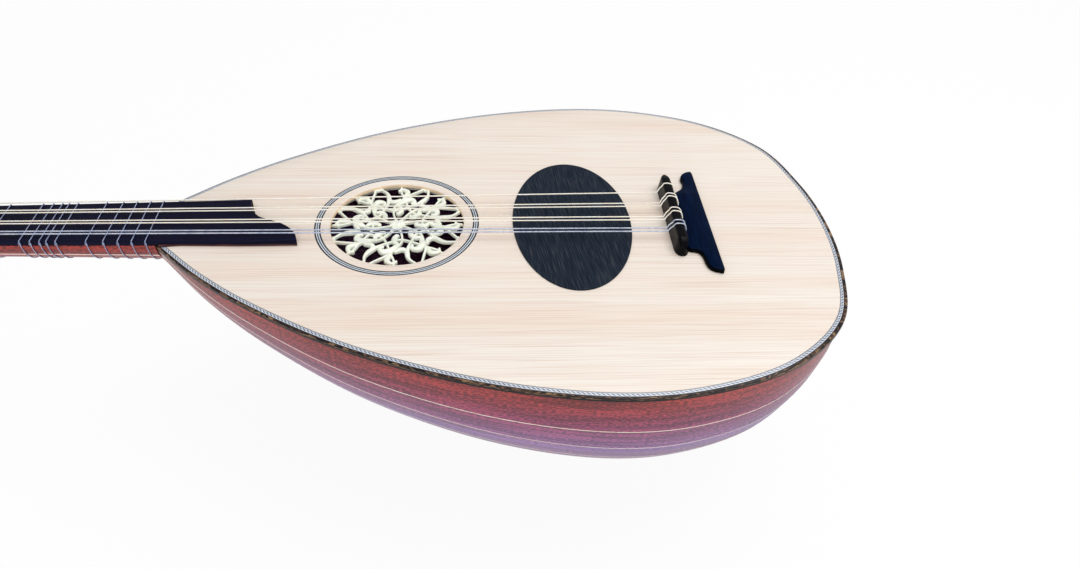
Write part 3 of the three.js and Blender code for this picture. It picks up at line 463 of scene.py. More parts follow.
def inlay_material(name, wide, slips, rope, pitch):
    """Slips of an inlay across v, from 0 to wide in mm, given as (share, colour). Between the two shares of
    rope, dark slants stand a pitch apart: where the sine of (u - 1.7 v) over the pitch is high."""
    material, surface = new_material(name, 0.32, Coat_Weight=0.25, Coat_Roughness=0.12)
    place = add_node(material, "UVMap", uv_map="surface_mm")
    split = add_node(material, "SeparateXYZ", {0: place})
    share = add_node(material, "Math", {0: split.outputs[1], 1: wide}, operation="DIVIDE")
    plain = add_node(material, "ValToRGB", {"Fac": share}, ramp=slips)
    plain.color_ramp.interpolation = "CONSTANT"
    slant = add_node(material, "Math", {0: split.outputs[1], 1: -1.7, 2: split.outputs[0]},
                     operation="MULTIPLY_ADD")
    phase = add_node(material, "Math", {0: slant, 1: 2 * np.pi / pitch}, operation="MULTIPLY")
    wave = add_node(material, "Math", {0: phase}, operation="SINE")
    stroke = add_node(material, "MapRange", {"Value": wave, "From Min": 0.0, "From Max": 0.4})
    inside = add_node(material, "Math", {0: share, 1: sum(rope) / 2, 2: (rope[1] - rope[0]) / 2},
                      operation="COMPARE")
    drawn = add_node(material, "Math", {0: stroke, 1: inside}, operation="MULTIPLY")
    colour = add_node(material, "Mix", {0: drawn, 6: plain, 7: linear("4c5a70")}, data_type="RGBA")
    feed(material, surface, colour.outputs[2])
    return material


def inlay(outer, inner, top, bottom, wide):
    """A strip between two plan lines: a rectangle with worn edges carried along them, its top running from
    the first height of top at the outer line to the second at the inner one. Gives its grid and its UV."""
    share = np.array([0, 0, 0.04, 0.5, 0.96, 1, 1])
    surface_level = top[0] + (top[1] - top[0]) * share
    level = np.where([1, 0, 0, 0, 0, 0, 1], bottom, surface_level - np.where([1, 1, 0, 0, 0, 1, 1], 0.1, 0))
    flat = outer[:, None] + (inner - outer)[:, None] * share[None, :, None]
    return raised(flat, level), grid_of(run_along(outer)[:, None], share * wide)


edge_inlay = inlay_material("rope_edge_inlay", EDGE_WIDE, [
    (0.0, "34363f"), (0.15, "e0e4ea"), (0.25, "c6ccd8"), (0.7, "d8dde4"), (0.79, "4f5969"), (0.94, "d2d7de")],
    (0.25, 0.7), 2.6)
u = np.linspace(0, 2, RIM_POINTS)
grid, uv = inlay(rim(u, 0), rim(u, -EDGE_WIDE), (-0.5, 0), -1.6, EDGE_WIDE)
make_piece("rope_edge_strip", [grid], IN_BODY, edge_inlay, "instrument", "edge_purfling", uv=uv)

ring_inlay = inlay_material("rope_ring_inlay", RING_OUT - RING_IN,
                            [(0.0, "1c2a3c"), (0.25, "e6ecf0"), (0.38, "4c5e70"), (0.62, "e6ecf0"),
                             (0.75, "1c2a3c")], (0.38, 0.62), 2.2)
turn = np.linspace(0, 2 * np.pi, 241)
circle = np.stack([np.cos(turn), np.sin(turn)], 1)
grid, uv = inlay((HOLE_X, 0) + RING_OUT * circle, (HOLE_X, 0) + RING_IN * circle, (0, 0), -RING_DEEP,
                 RING_OUT - RING_IN)
make_piece("rope_ring", [grid], IN_BODY, ring_inlay, "instrument", "rosette_ring", uv=uv)

# Rosette
# A round of pale boxwood, sawn through and carved in relief: an eight-fold knot of slender S-shaped vines,
# with swollen leaves that curl off them and a small daisy in the middle. It is glued under the soundhole.
ROSETTE_TOP, VINE_LOW, ROSETTE_OUT, ROSETTE_RIM, ROSETTE_LOW = -2.8, -3.5, 46.0, 44.6, -5.8
FOLDS, PETALS = 8, 14

# Boxwood cut with a knife and left satin: greenish ivory, slightly mottled, with shallow tool marks.
boxwood, surface = new_material("carved_boxwood", 0.45, Coat_Weight=0.15, Coat_Roughness=0.25,
                                Subsurface_Weight=0.1)
surface.inputs["Subsurface Radius"].default_value = (0.002, 0.0015, 0.001)
place = add_node(boxwood, "TexCoord")
mottle = add_node(boxwood, "TexNoise", {"Vector": place.outputs["Object"], "Scale": 160, "Detail": 4})
colour = add_node(boxwood, "ValToRGB", {"Fac": mottle}, ramp=[(0.3, "f0f5e4"), (0.7, "fcfdf2")])
marks = add_node(boxwood, "TexNoise", {"Vector": place.outputs["Object"], "Scale": 700, "Detail": 2})
relief = add_node(boxwood, "Bump", {"Strength": 0.12, "Distance": 0.0003, "Height": marks})
feed(boxwood, surface, colour.outputs[0], relief)


def vine(points, lift=0.0):
    """A carved vine through points (share of the soundhole's radius, folds counted from a tip, width). Its
    section is a half ellipse on straight sides, its ends are half circles seen from above, and its crown
    rises with its width and by lift, and sinks under the board just before the soundhole's edge."""
    points = np.array(points, float)
    angle = (points[:, 1] + 0.5) * 2 * np.pi / FOLDS
    flat = points[:, :1] * HOLE * np.stack([np.cos(angle), np.sin(angle)], 1)
    t = (1 - np.cos(np.linspace(0, np.pi, 9 * len(points)))) / 2
    path = centripetal(np.column_stack([flat, points[:, 2]]), t)
    centre, half = path[:, :2], path[:, 2] / 2
    run = run_along(centre)
    left = np.minimum(np.minimum(run, run[-1] - run) + 0.05, half)
    half_here = np.sqrt(2 * half * left - left ** 2)
    along = np.gradient(centre, axis=0)
    along /= np.linalg.norm(along, axis=1)[:, None]
    side = np.stack([-along[:, 1], along[:, 0]], 1)
    arch = np.linspace(0, np.pi, 8)
    lean = np.concatenate([[1], np.cos(arch), [-1]])
    bulge = np.concatenate([[0], np.sin(arch), [0]])
    tall = np.minimum(0.8 * half_here, 1.5)
    inwards = np.clip((HOLE - 0.2 - np.hypot(centre[:, 0], centre[:, 1])) / 0.7, 0, 1)
    crown = ROSETTE_TOP - 0.1 + (1.0 + 0.3 * path[:, 2] + lift) * inwards
    level = crown[:, None] - tall[:, None] * (1 - bulge)
    level[:, [0, -1]] = VINE_LOW
    plan = centre[:, None] + side[:, None] * (lean * half_here[:, None])[..., None]
    return raised(plan, level)


FOLD = [
    vine([(1.05, 0, 1.3), (0.86, 0.17, 1.4), (0.72, 0.36, 1.5), (0.58, 0.52, 1.5), (0.42, 0.78, 1.4),
          (0.2, 0.9, 1.3), (0.04, 0.8, 1.0)], 0.15),
    vine([(1.05, 0, 1.3), (0.86, -0.15, 1.9), (0.72, -0.16, 3.2), (0.56, -0.04, 1.7), (0.43, 0.28, 1.4),
          (0.37, 0.72, 1.4), (0.43, 1.05, 1.4), (0.56, 1.28, 1.4), (0.645, 1.35, 1.4), (0.886, 1.52, 1.4),
          (1.05, 1.5, 1.3)]),
    vine([(0.47, 0.66, 1.2), (0.53, 0.5, 2.3), (0.61, 0.38, 3.8), (0.67, 0.2, 4.2), (0.62, 0.04, 2.7),
          (0.55, 0.1, 2.1)]),
    vine([(0.66, 0.42, 1.6), (0.76, 0.38, 2.7), (0.86, 0.36, 3.4), (0.92, 0.48, 2.3), (0.87, 0.58, 1.9)],
         0.1),
    vine([(0.66, -0.5, 1.6), (0.6, -0.32, 3.4), (0.62, -0.2, 3.0), (0.75, -0.15, 1.6)], -0.1),
    vine([(0.47, 0.62, 1.6), (0.42, 0.45, 3.4), (0.33, 0.42, 3.4), (0.27, 0.55, 2.3), (0.3, 0.66, 1.8)],
         0.05),
    vine([(0.975, -0.1, 1.3), (0.985, 0, 2.2), (0.975, 0.1, 1.3)]),
]
carved = [moved(turned("Z", 360 / FOLDS * k), grid) for k in range(FOLDS) for grid in FOLD]
carved += [vine([(0.02, k, 0.8), (0.07, k, 1.7), (0.12, k, 1.1)], 0.1)
           for k in np.arange(PETALS) * FOLDS / PETALS]
turn = np.linspace(0, 2 * np.pi, 180, endpoint=False)
# Each ring of the rim and of the button in the middle: its radius and its height.
rim_rings = np.array([(ROSETTE_OUT, ROSETTE_LOW), (ROSETTE_OUT, -2.9), (45.8, ROSETTE_TOP),
                      (45.0, ROSETTE_TOP), (ROSETTE_RIM, -3.2), (ROSETTE_RIM, ROSETTE_LOW),
                      (ROSETTE_OUT, ROSETTE_LOW)])
button = np.array([(1.7, VINE_LOW), (1.7, -2.2), (1.4, -1.5), (0.8, -1.15), (0.3, -1.05)])
for rings in (rim_rings, button):
    carved.append(grid_of(rings[:, :1] * np.cos(turn), rings[:, :1] * np.sin(turn), rings[:, 1:]))
IN_HOLE = IN_BODY @ turned("Z", 0, (HOLE_X, 0, 0))
make_piece("carved_rosette", carved, IN_HOLE, boxwood, "instrument", "rosette", sharp=50)

# Side band
# A band of dark figured rosewood, bent round the bowl's upper edge and glued over the ribs' ends. It is
# thickest and deepest round the tail and has a black line along its lower edge. Its pattern counts the depth
# from the upper edge to the lower one as 4.6 mm at every place.
PATTERN_DEEP, BAND_OUT, BAND_THICKENS = 4.6, 1.2, 1
# Rosewood under a gloss: nearly black, with brown and olive streaks that run along the band.
rosewood, surface = new_material("polished_rosewood", 0.35, Specular_IOR_Level=0.2, Coat_Weight=0.08)
place = add_node(rosewood, "UVMap", uv_map="surface_mm")
stretched = add_node(rosewood, "Mapping", {"Vector": place, "Scale": (0.13, 0.6, 1)})
figure = add_node(rosewood, "TexNoise", {"Vector": stretched, "Scale": 1.0, "Detail": 6, "Distortion": 1.5},
                  noise_dimensions="2D")
streaks = add_node(rosewood, "ValToRGB", {"Fac": figure}, ramp=[(0.42, "171114"), (0.53, "3c2a22"),
                                                                (0.6, "6e5440"), (0.7, "927654")])
split = add_node(rosewood, "SeparateXYZ", {0: place})
black = add_node(rosewood, "MapRange", {"Value": split.outputs[1], "From Min": 2.9, "From Max": 3.1})
colour = add_node(rosewood, "Mix", {0: black, 6: streaks, 7: linear("101016")}, data_type="RGBA")
feed(rosewood, surface, colour.outputs[2])


def band_out(u):
    """Outer face of the band: 1.2 mm outside the edge strip, and up to 1 mm more over the tail's quarter."""
    return BAND_OUT + BAND_THICKENS * smooth_step((profile(u)[:, 0] / LENGTH - 0.72) / 0.28)


u = np.linspace(0, 2, RIM_POINTS)
outside, inside = rim(u, band_out(u)), rim(u, 0.15)
deep = band_height(np.where(u > 1, 2 - u, u))[:, None]
# Round the section: share of the way in, and the height, where the last four stand on the band's own depth.
share = np.array([1, 0.45, 0.08, 0, 0, 0, 0, 0.3, 1])
level = -np.concatenate([np.broadcast_to([0.6, 0.75, 1.0, 1.4, 2.2], (len(u), 5)), deep - (0.3, 0, 0, 0)], 1)
flat = outside[:, None] + (inside - outside)[:, None] * share[None, :, None]
uv = grid_of(run_along(outside)[:, None], -level * PATTERN_DEEP / deep)
make_piece("rosewood_side_band", [raised(flat, level)], IN_BODY, rosewood, "instrument", "side_band",
           uv=uv)

# Neck
# One length of the ribs' mahogany, flat on top and half-round below, deepening towards the body, with a pale
# stripe let in along each side.
NUT_X, NUT_LONG, TONGUE_SHORT = -360.0, 5.0, 49.5
NUT_HALF, NECK_WIDENS, NUT_DEEP, NECK_DEEPENS, PEGBOX_BEND = 16.4, 4.2, 15, 6, 30
STRIPE_ANGLE, STRIPE_HALF, STRIPE_DEEP, STRIPE_CROWN = np.radians(26), 0.03, 0.6, 0.05


def neck_flare(x):
    """The share of the way from the nut to the body, to the power 2.3."""
    return np.clip((x - NUT_X) / -NUT_X, 0, (TONGUE_SHORT - NUT_X) / -NUT_X) ** 2.3


def neck_half(x):
    """Half width of the neck: 16.4 mm at the nut to 20.6 mm at the body."""
    return NUT_HALF + NECK_WIDENS * neck_flare(x)


def neck_surface(x, angle, out):
    """(x, (w + out) cos a, -(d + out) sin a): a half ellipse, d being 15 mm at the nut, 21 at the body."""
    wide, deep = neck_half(x) + out, NUT_DEEP + NECK_DEEPENS * neck_flare(x) + out
    return grid_of(x, wide * np.cos(angle), -deep * np.sin(angle))


x = np.linspace(NUT_X - NUT_LONG, -0.45, 90)[:, None]
angle = np.linspace(0, np.pi, 41)
grid = neck_surface(x, angle, 0)
# The first rows slant half way to the pegbox's bend, and the last is turned to meet the body.
grid[..., 0] -= grid[..., 2] * np.tan(np.radians(PEGBOX_BEND / 2)) * np.clip(1 - (x - x[0]) / 12, 0, 1)
grid[-1, :, 0] += grid[-1, :, 1] * np.tan(np.radians(NECK_TURN))
uv = grid_of(x, 2000 + 1.6 * np.arange(41))
make_piece("mahogany_neck", [grid], IN_NECK, mahogany, "instrument", "neck", uv=uv)
x = np.linspace(NUT_X + 2, -0.8, 60)[:, None]
across = np.array([-1, 0, 1, 1, 0, -1]) * STRIPE_HALF
out = np.array([0, STRIPE_CROWN, 0, -STRIPE_DEEP, -STRIPE_DEEP, -STRIPE_DEEP])
for name, centre in (("far", STRIPE_ANGLE), ("near", np.pi - STRIPE_ANGLE)):
    stripe = neck_surface(x, centre + across, out)
    make_piece(f"neck_stripe_{name}", [stripe], IN_NECK, maple, "instrument", None)

# Fingerboard
# A thin slab of ebony glued on the neck, which runs on over the soundboard in a tongue. The tongue's end is
# swept, short under the single string and long under the lowest pair.
BOARD_LOW, BOARD_TOP, TONGUE_LONG = 0.3, 3.3, 84.5
TONGUE = np.array([(0, 1), (0.014, 0.74), (0.06, 0.51), (0.23, 0.17), (0.47, -0.015), (0.68, -0.19),
                   (0.83, -0.4), (0.93, -0.62), (0.98, -0.85), (1, -1)])
# Ebony rubbed to a satin: near black with a blue cast, its fine pores along the board.
ebony, surface = new_material("satin_ebony", 0.45, Specular_IOR_Level=0.07)
place = add_node(ebony, "TexCoord")
stretched = add_node(ebony, "Mapping", {"Vector": place.outputs["Object"], "Scale": (40, 1200, 1200)})
pores = add_node(ebony, "TexNoise", {"Vector": stretched, "Scale": 1.0, "Detail": 3})
colour = add_node(ebony, "ValToRGB", {"Fac": pores}, ramp=[(0.35, "07071a"), (0.7, "141432")])
relief = add_node(ebony, "Bump", {"Strength": 0.1, "Distance": 0.0002, "Height": pores})
feed(ebony, surface, colour.outputs[0], relief)


def slab(name, outline, low, high, ease, matrix, material, replaced):
    """A flat board from a closed plan outline: the outline at the bottom and near the top, then drawn in
    along its normals in two steps, which rounds its upper edge."""
    step = np.roll(outline, -1, 0) - np.roll(outline, 1, 0)
    step /= np.linalg.norm(step, axis=1)[:, None]
    turn_sign = np.sign(np.cross(outline, np.roll(outline, -1, 0)).sum())
    inward = np.stack([-step[:, 1], step[:, 0]], 1) * turn_sign
    rows = np.array([(0.5, low), (0, low), (0, high - ease), (0.3 * ease, high - 0.3 * ease), (ease, high),
                     (1.6 * ease, high)])
    flat = outline + rows[:, :1, None] * inward
    make_piece(name, [raised(flat, rows[:, 1:])], matrix, material, "instrument", replaced)


half_tongue = neck_half(TONGUE_SHORT)
swept = centripetal(TONGUE, np.linspace(0, 1, 61)) * (TONGUE_LONG - TONGUE_SHORT, half_tongue)
swept = swept + (TONGUE_SHORT, 0)
x = np.linspace(NUT_X + 0.3, TONGUE_SHORT, 120)
far = np.stack([x, neck_half(x)], 1)
outline = np.concatenate([far * (1, -1), [(60, -half_tongue), (72, -half_tongue)], swept[::-1],
                          far[::-1][1:]])
slab("ebony_fingerboard", outline, BOARD_LOW, BOARD_TOP, 0.35, IN_NECK, ebony, "fingerboard")

# Under the tongue, a thin shim of planed walnut fills the step down to the soundboard: dull reddish brown.
walnut, surface = new_material("planed_walnut", 0.6, Specular_IOR_Level=0.2)
place = add_node(walnut, "TexCoord")
stretched = add_node(walnut, "Mapping", {"Vector": place.outputs["Object"], "Scale": (60, 900, 900)})
grain = add_node(walnut, "TexNoise", {"Vector": stretched, "Scale": 1.0})
colour = add_node(walnut, "ValToRGB", {"Fac": grain}, ramp=[(0.35, "3c2024"), (0.7, "66403a")])
feed(walnut, surface, colour.outputs[0])
SHIM_OUT, GLUE, SHIM_TOP = 0.12, 0.02, 1.2
under_tongue = np.concatenate([[(2, -half_tongue)], outline[(outline[:, 0] > 12)], [(2, half_tongue)]])
outwards = np.sign(under_tongue[:, 1:]) * (0, SHIM_OUT)
slab("tongue_shim", under_tongue + outwards, GLUE, SHIM_TOP, 0.1, IN_NECK, walnut, None)

# Pickguard
# An oval of thin black-dyed veneer, glued on the soundboard where the plectrum strikes, its grain crossing
# the strings.
GUARD_X, GUARD_HALF_LONG, GUARD_HALF_WIDE, GUARD_TOP = 0.603 * LENGTH, 38.5, 66.5, 1.0
# Open-pored veneer: charcoal with browner streaks where the dye took less.
veneer, surface = new_material("black_dyed_veneer", 0.5, Specular_IOR_Level=0.07)
place = add_node(veneer, "TexCoord")
slanted = add_node(veneer, "Mapping", {"Vector": place.outputs["Object"], "Rotation": (0, 0, np.radians(-7))})
stretched = add_node(veneer, "Mapping", {"Vector": slanted, "Scale": (1500, 70, 1)})
fibres = add_node(veneer, "TexNoise", {"Vector": stretched, "Scale": 1.0, "Detail": 4})
colour = add_node(veneer, "ValToRGB", {"Fac": fibres}, ramp=[(0.36, "101925"), (0.54, "1d2836"),
                                                             (0.7, "3b3c42")])
relief = add_node(veneer, "Bump", {"Strength": 0.15, "Distance": 0.0002, "Height": fibres})
feed(veneer, surface, colour.outputs[0], relief)
turn = np.linspace(0, 2 * np.pi, 160, endpoint=False)
oval = np.stack([GUARD_X + GUARD_HALF_LONG * np.cos(turn), GUARD_HALF_WIDE * np.sin(turn)], 1)
slab("oval_pickguard", oval, GLUE, GUARD_TOP, 0.25, IN_BODY, veneer, "pickguard")

# Bridge
# Black lacquered hardwood: a tie block with leaning faces, a hole for each string and rounded ends, and
# behind it a low flat plate with a straight rear edge and a swept tip at each end.
BRIDGE_X, FOOT = 318.3, 0.3
BLOCK_Y, BLOCK_HALF, BLOCK_MIDDLE, END_SLOPE, FAR_DROP, NEAR_DROP = 3.0, 38.3, 4.6, 7.0, 0.14, 0.45
PLATE_Y, PLATE_REAR, PLATE_TOP = 1.6, 27.7, 3.3
# Lacquer over fine-pored wood: the block is black with a soft gloss, and the plate behind it is deep blue on
# top, its sides painted near black as painted shade.
finishes = []
for name, roughness, shine, darker, lighter in (
        ("black_polished_hardwood", 0.25, 0.06, "030306", "0d0d14"),
        ("blue_black_lacquer", 0.3, 0.02, "010d26", "041735")):
    finish, surface = new_material(name, roughness, Specular_IOR_Level=shine)
    place = add_node(finish, "TexCoord")
    stretched = add_node(finish, "Mapping", {"Vector": place.outputs["Object"], "Scale": (900, 60, 900)})
    pores = add_node(finish, "TexNoise", {"Vector": stretched, "Scale": 1.0})
    colour = add_node(finish, "ValToRGB", {"Fac": pores}, ramp=[(0.4, darker), (0.7, lighter)])
    feed(finish, surface, colour.outputs[0])
    finishes.append(finish)
polished, lacquer = finishes
# Painted shade: below the plate's top face its sides are painted near black.
height = add_node(lacquer, "SeparateXYZ", {0: place.outputs["Object"]})
top = add_node(lacquer, "MapRange", {"Value": height.outputs[2], "From Min": 0.1598, "From Max": 0.1601})
with_painted_side_shade = add_node(lacquer, "Mix", {0: top, 6: linear("050608"), 7: colour}, data_type="RGBA")
feed(lacquer, surface, with_painted_side_shade.outputs[2])


def bezier(a, b, c, t):
    """Places at t on a quadratic Bezier curve from a to c, drawn towards b."""
    t = np.asarray(t)[:, None]
    return (1 - t) ** 2 * np.array(a) + 2 * t * (1 - t) * np.array(b) + t ** 2 * np.array(c)


def block_line(out):
    """Section of the tie block from its lower front edge over the top to its lower rear edge, (x, z) moved
    outwards along its normals: two leaning faces and rounded corners."""
    t = np.linspace(0, 1, 7)
    line = np.concatenate([
        bezier((0, FOOT), (0.7, 4.8), (1.42, 9.3), t), bezier((1.42, 9.3), (1.7, 11), (3.2, 11), t)[1:],
        bezier((3.2, 11), (4.6, 11.05), (6.0, 11), t)[1:], bezier((6.0, 11), (7.5, 11), (7.8, 9.3), t)[1:],
        bezier((7.8, 9.3), (8.5, 4.8), (9.2, FOOT), t)[1:]])
    step = np.gradient(line, axis=0)
    step /= np.linalg.norm(step, axis=1)[:, None]
    return line + out * np.stack([-step[:, 1], step[:, 0]], 1)


y = BLOCK_HALF * np.sin(np.linspace(-1, 1, 61) * np.pi / 2)
past = np.clip((np.abs(y) - BLOCK_HALF + END_SLOPE) / END_SLOPE, 0, 1)
section = block_line(0)
wide = 0.12 + 0.88 * np.sqrt(1 - past ** 2)
tall = 1 - np.where(y > 0, FAR_DROP, NEAR_DROP) * past ** 1.6
grid = grid_of(BLOCK_MIDDLE + (section[:, 0] - BLOCK_MIDDLE) * wide[:, None], y[:, None],
               FOOT + (section[:, 1] - FOOT) * tall[:, None])
make_piece("tie_block", [grid + (BRIDGE_X, BLOCK_Y, 0)], IN_BODY, polished, "instrument", "bridge",
           sharp=50)

# Front edge of the plate from its near tip to its far one: places across the body, and back from BRIDGE_X.
SWEEP = np.array([(-52.0, 26.4), (-51.8, 25.0), (-51.2, 23.2), (-49.8, 20.4), (-47.4, 18.5), (-44.0, 17.5),
                  (-39.0, 17.0), (-35.4, 16.4), (-33.0, 15.0), (-31.9, 12.6), (-31.3, 10.0), (-30.5, 8.8),
                  (0, 8.8), (24.0, 8.8), (27.8, 9.6), (30.8, 12.8), (33.6, 15.8), (37.5, 17.8), (42.3, 18.6),
                  (46.9, 18.2), (50.6, 19.2), (53.2, 21.6), (54.2, 24.2), (54.5, 26.2)])
sweep = centripetal(SWEEP, np.linspace(0, 1, 181))
y, front = sweep[:, 0], sweep[:, 1]
back = PLATE_REAR - 0.9 * np.clip((np.abs(y - PLATE_Y) - 51) / 2.2, 0, 1) ** 2
# Round the section: how far in from the front or the rear edge, and the height.
slim = np.minimum(np.array([0, 0, 0.35, 1.1]), (back - front)[:, None] * 0.45)
plan_x = np.concatenate([front[:, None] + slim, back[:, None] - slim[:, ::-1]], 1)
level = np.array([FOOT, 2.2, 2.9, PLATE_TOP, PLATE_TOP, 2.8, 1.9, FOOT])
make_piece("bridge_plate", [grid_of(BRIDGE_X + plan_x, y[:, None], level)], IN_BODY, lacquer, "instrument",
           None, sharp=50)

# Nut
# A bar of polished bone across the end of the fingerboard, with a filed slot for each string.
# Bone: warm white, faintly mottled, and a little light goes in.
bone, surface = new_material("polished_bone", 0.25, Subsurface_Weight=0.15)
surface.inputs["Subsurface Radius"].default_value = (0.002, 0.0015, 0.001)
place = add_node(bone, "TexCoord")
mottle = add_node(bone, "TexNoise", {"Vector": place.outputs["Object"], "Scale": 300})
colour = add_node(bone, "ValToRGB", {"Fac": mottle}, ramp=[(0.35, "e6dcc4"), (0.7, "f4eedd")])
feed(bone, surface, colour.outputs[0])
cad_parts["nut"].data.materials.clear()
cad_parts["nut"].data.materials.append(bone)

# Pegbox
# A trough of the neck's mahogany, bent back from the nut, with straight cheeks that the pegs cross and a
# solid rounded end. Its edges are eased by hand.
PEGBOX_EASE, PEGBOX_GAP = 0.5, 0.3
IN_PEGBOX = IN_NECK @ turned("Y", -PEGBOX_BEND, (NUT_X - NUT_LONG - PEGBOX_GAP, 0, 0))
# Mahogany cut along the neck: the ribs' wood and polish, its streaks level with the pegbox.
pegbox_wood, surface = new_material("polished_mahogany_pegbox", 0.4, Specular_IOR_Level=0.3, Coat_Weight=0.12,
                                    Coat_Roughness=0.1)
place = add_node(pegbox_wood, "TexCoord")
bend = np.radians(PEGBOX_BEND + NECK_LEAN)
level_wood = add_node(pegbox_wood, "Mapping", {"Vector": place.outputs["Object"], "Rotation": (0, bend, 0)})
stretched = add_node(pegbox_wood, "Mapping", {"Vector": level_wood, "Scale": (12, 350, 350)})
ribbon = add_node(pegbox_wood, "TexNoise", {"Vector": stretched, "Scale": 1.0, "Detail": 4})
colour = add_node(pegbox_wood, "ValToRGB", {"Fac": ribbon}, ramp=[(0.3, "6a1c1c"), (0.52, "983438"),
                                                                  (0.75, "b0473c")])
feed(pegbox_wood, surface, colour.outputs[0])

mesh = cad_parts["pegbox"].data.copy()
mesh.materials.clear()
work = bmesh.new()
work.from_mesh(mesh)
bmesh.ops.remove_doubles(work, verts=work.verts, dist=DOUBLE / 2)
bmesh.ops.dissolve_limit(work, angle_limit=np.radians(1), verts=work.verts, edges=work.edges)
work.to_mesh(mesh)
work.free()
mesh.materials.append(pegbox_wood)
mesh.shade_smooth()
mesh.set_sharp_from_angle(angle=np.radians(30))
pegbox = bpy.data.objects.new("mahogany_pegbox", mesh)
bpy.context.collection.objects.link(pegbox)
bevel = pegbox.modifiers.new("eased_edges", "BEVEL")
bevel.width = PEGBOX_EASE / 1000
bevel.segments = 2
bevel.limit_method = "ANGLE"
bevel.angle_limit = np.radians(40)
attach(pegbox, "instrument")
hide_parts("pegbox")

# Pegs
# Seven friction pegs of turned ebony, each a slow taper through both cheeks, with a collar and a flat rounded
# thumb piece. They enter from alternate sides.
PEGS, PEG_FIRST, PEG_STEP, PEG_DEEP, PEG_TIP, PEG_HEAD = 7, 23.0, 18.0, 8.8, 3.3, 4.3
PEGBOX_LONG, PEGBOX_NARROWS = 150, 5.4
COLLAR_LONG, THUMB_HALF_LONG, THUMB_HALF_WIDE, THUMB_HALF_THICK = 9, 10.5, 10.4, 3.9


def pegbox_half(x):
    """Half width of the pegbox: 16.4 mm at the nut, tapering straight to 11 mm at its end, 150 mm on."""
    return NUT_HALF + PEGBOX_NARROWS * x / PEGBOX_LONG


def peg_radius(y, half):
    """Radius of a peg's shaft: 3.3 to 4.3 mm, in a straight taper from 2 mm outside one cheek to 2 outside
    the other."""
    return PEG_TIP + (PEG_HEAD - PEG_TIP) * (y + half + 2) / (2 * half + 4)


def turned_form(y, across, up):
    """Rings along y: (r cos a, y, s sin a) with a half width r and a half thickness s."""
    a = np.linspace(0, 2 * np.pi, 40, endpoint=False)
    return grid_of(across[:, None] * np.cos(a), y[:, None], up[:, None] * np.sin(a))


for order in range(PEGS):
    x = -PEG_FIRST - PEG_STEP * order
    half = pegbox_half(x)
    # Down the peg: its rounded tip, the taper, the collar and the stem.
    taper = np.linspace(-half - 2.5, half + 2, 24)
    y = np.concatenate([-half - np.array([4, 3.9, 3.4]), taper,
                        half + np.array([3.5, 5.4, 6, 6.8, 7.6, 8.2, 9, 11, 12.5])])
    r = np.concatenate([[1.6, 2.2, 2.8], peg_radius(taper, half),
                        [4.4, 5.0, 5.5, 5.6, 5.3, 4.2, 3.4, 3.2, 3.4]])
    s = np.linspace(0, np.pi, 33)
    wing = THUMB_HALF_WIDE * np.sin(s) ** 0.8 * (1 + 0.12 * np.cos(s))
    # The thumb piece is hollowed by 1.2 mm on both faces.
    thick = THUMB_HALF_THICK * np.sin(s) ** 0.7 - 1.2 * np.exp(-((s - 1.7) / 0.7) ** 2)
    thumb = turned_form(half + COLLAR_LONG + THUMB_HALF_LONG * (1 - np.cos(s)), wing, thick)
    at_peg = IN_PEGBOX @ turned("Z", 180 if order % 2 else 0, (x, 0, -PEG_DEEP))
    make_piece(f"ebony_peg_{order + 1}", [turned_form(y, r, r), thumb], at_peg, ebony,
               f"peg_{order + 1}_turning", f"peg_{order + 1}", sharp=40)

# Tied frets
# Strands of pale nylon, each passed round the neck, drawn tight and knotted at the fingerboard's near edge.
# They stand closest where the scale has its small steps. The eleven nearest the body slide.
FRET_RADIUS, FRET_LIFT = 0.3, 0.42
KNOT_COIL, KNOT_STRAND, KNOT_OUT, KNOT_LOW, KNOT_TALL = 0.42, 0.26, 0.77, 1.0, 1.7
SCALE, SCALE_END, COMMAS_IN_OCTAVE = 675.0, 315.0, 53
FRET_COMMAS = (57, 55.1, 53.2, 51.3, 49.1, 45.4, 44.3, 43.5, 42.4, 41.2, 37.5)
NUT_SIDE_COMMAS = (35.4, 33.2, 31.0, 28.6, 26.6, 22.0, 20.2, 17.4, 13.2, 12.0, 9.0, 8.0, 5.0)
# Nylon: a smooth bluish white with a soft gloss, clouded a little.
nylon, surface = new_material("tied_nylon", 0.3)
place = add_node(nylon, "TexCoord")
mottle = add_node(nylon, "TexNoise", {"Vector": place.outputs["Object"], "Scale": 700})
colour = add_node(nylon, "ValToRGB", {"Fac": mottle}, ramp=[(0.3, "7f8aaa"), (0.7, "aab2d0")])
feed(nylon, surface, colour.outputs[0])


def tube(points, radius, sides, square, around=False):
    """A round section carried along points. One axis of each ring is square to the path and to the vector
    square, and the other is square to both."""
    along = np.roll(points, -1, 0) - np.roll(points, 1, 0) if around else np.gradient(points, axis=0)
    along /= np.linalg.norm(along, axis=1)[:, None]
    side = np.cross(along, square)
    side /= np.linalg.norm(side, axis=1)[:, None]
    other = np.cross(along, side)
    a = np.linspace(0, 2 * np.pi, sides, endpoint=False)[:, None]
    return points[:, None] + radius * (side[:, None] * np.cos(a) + other[:, None] * np.sin(a))


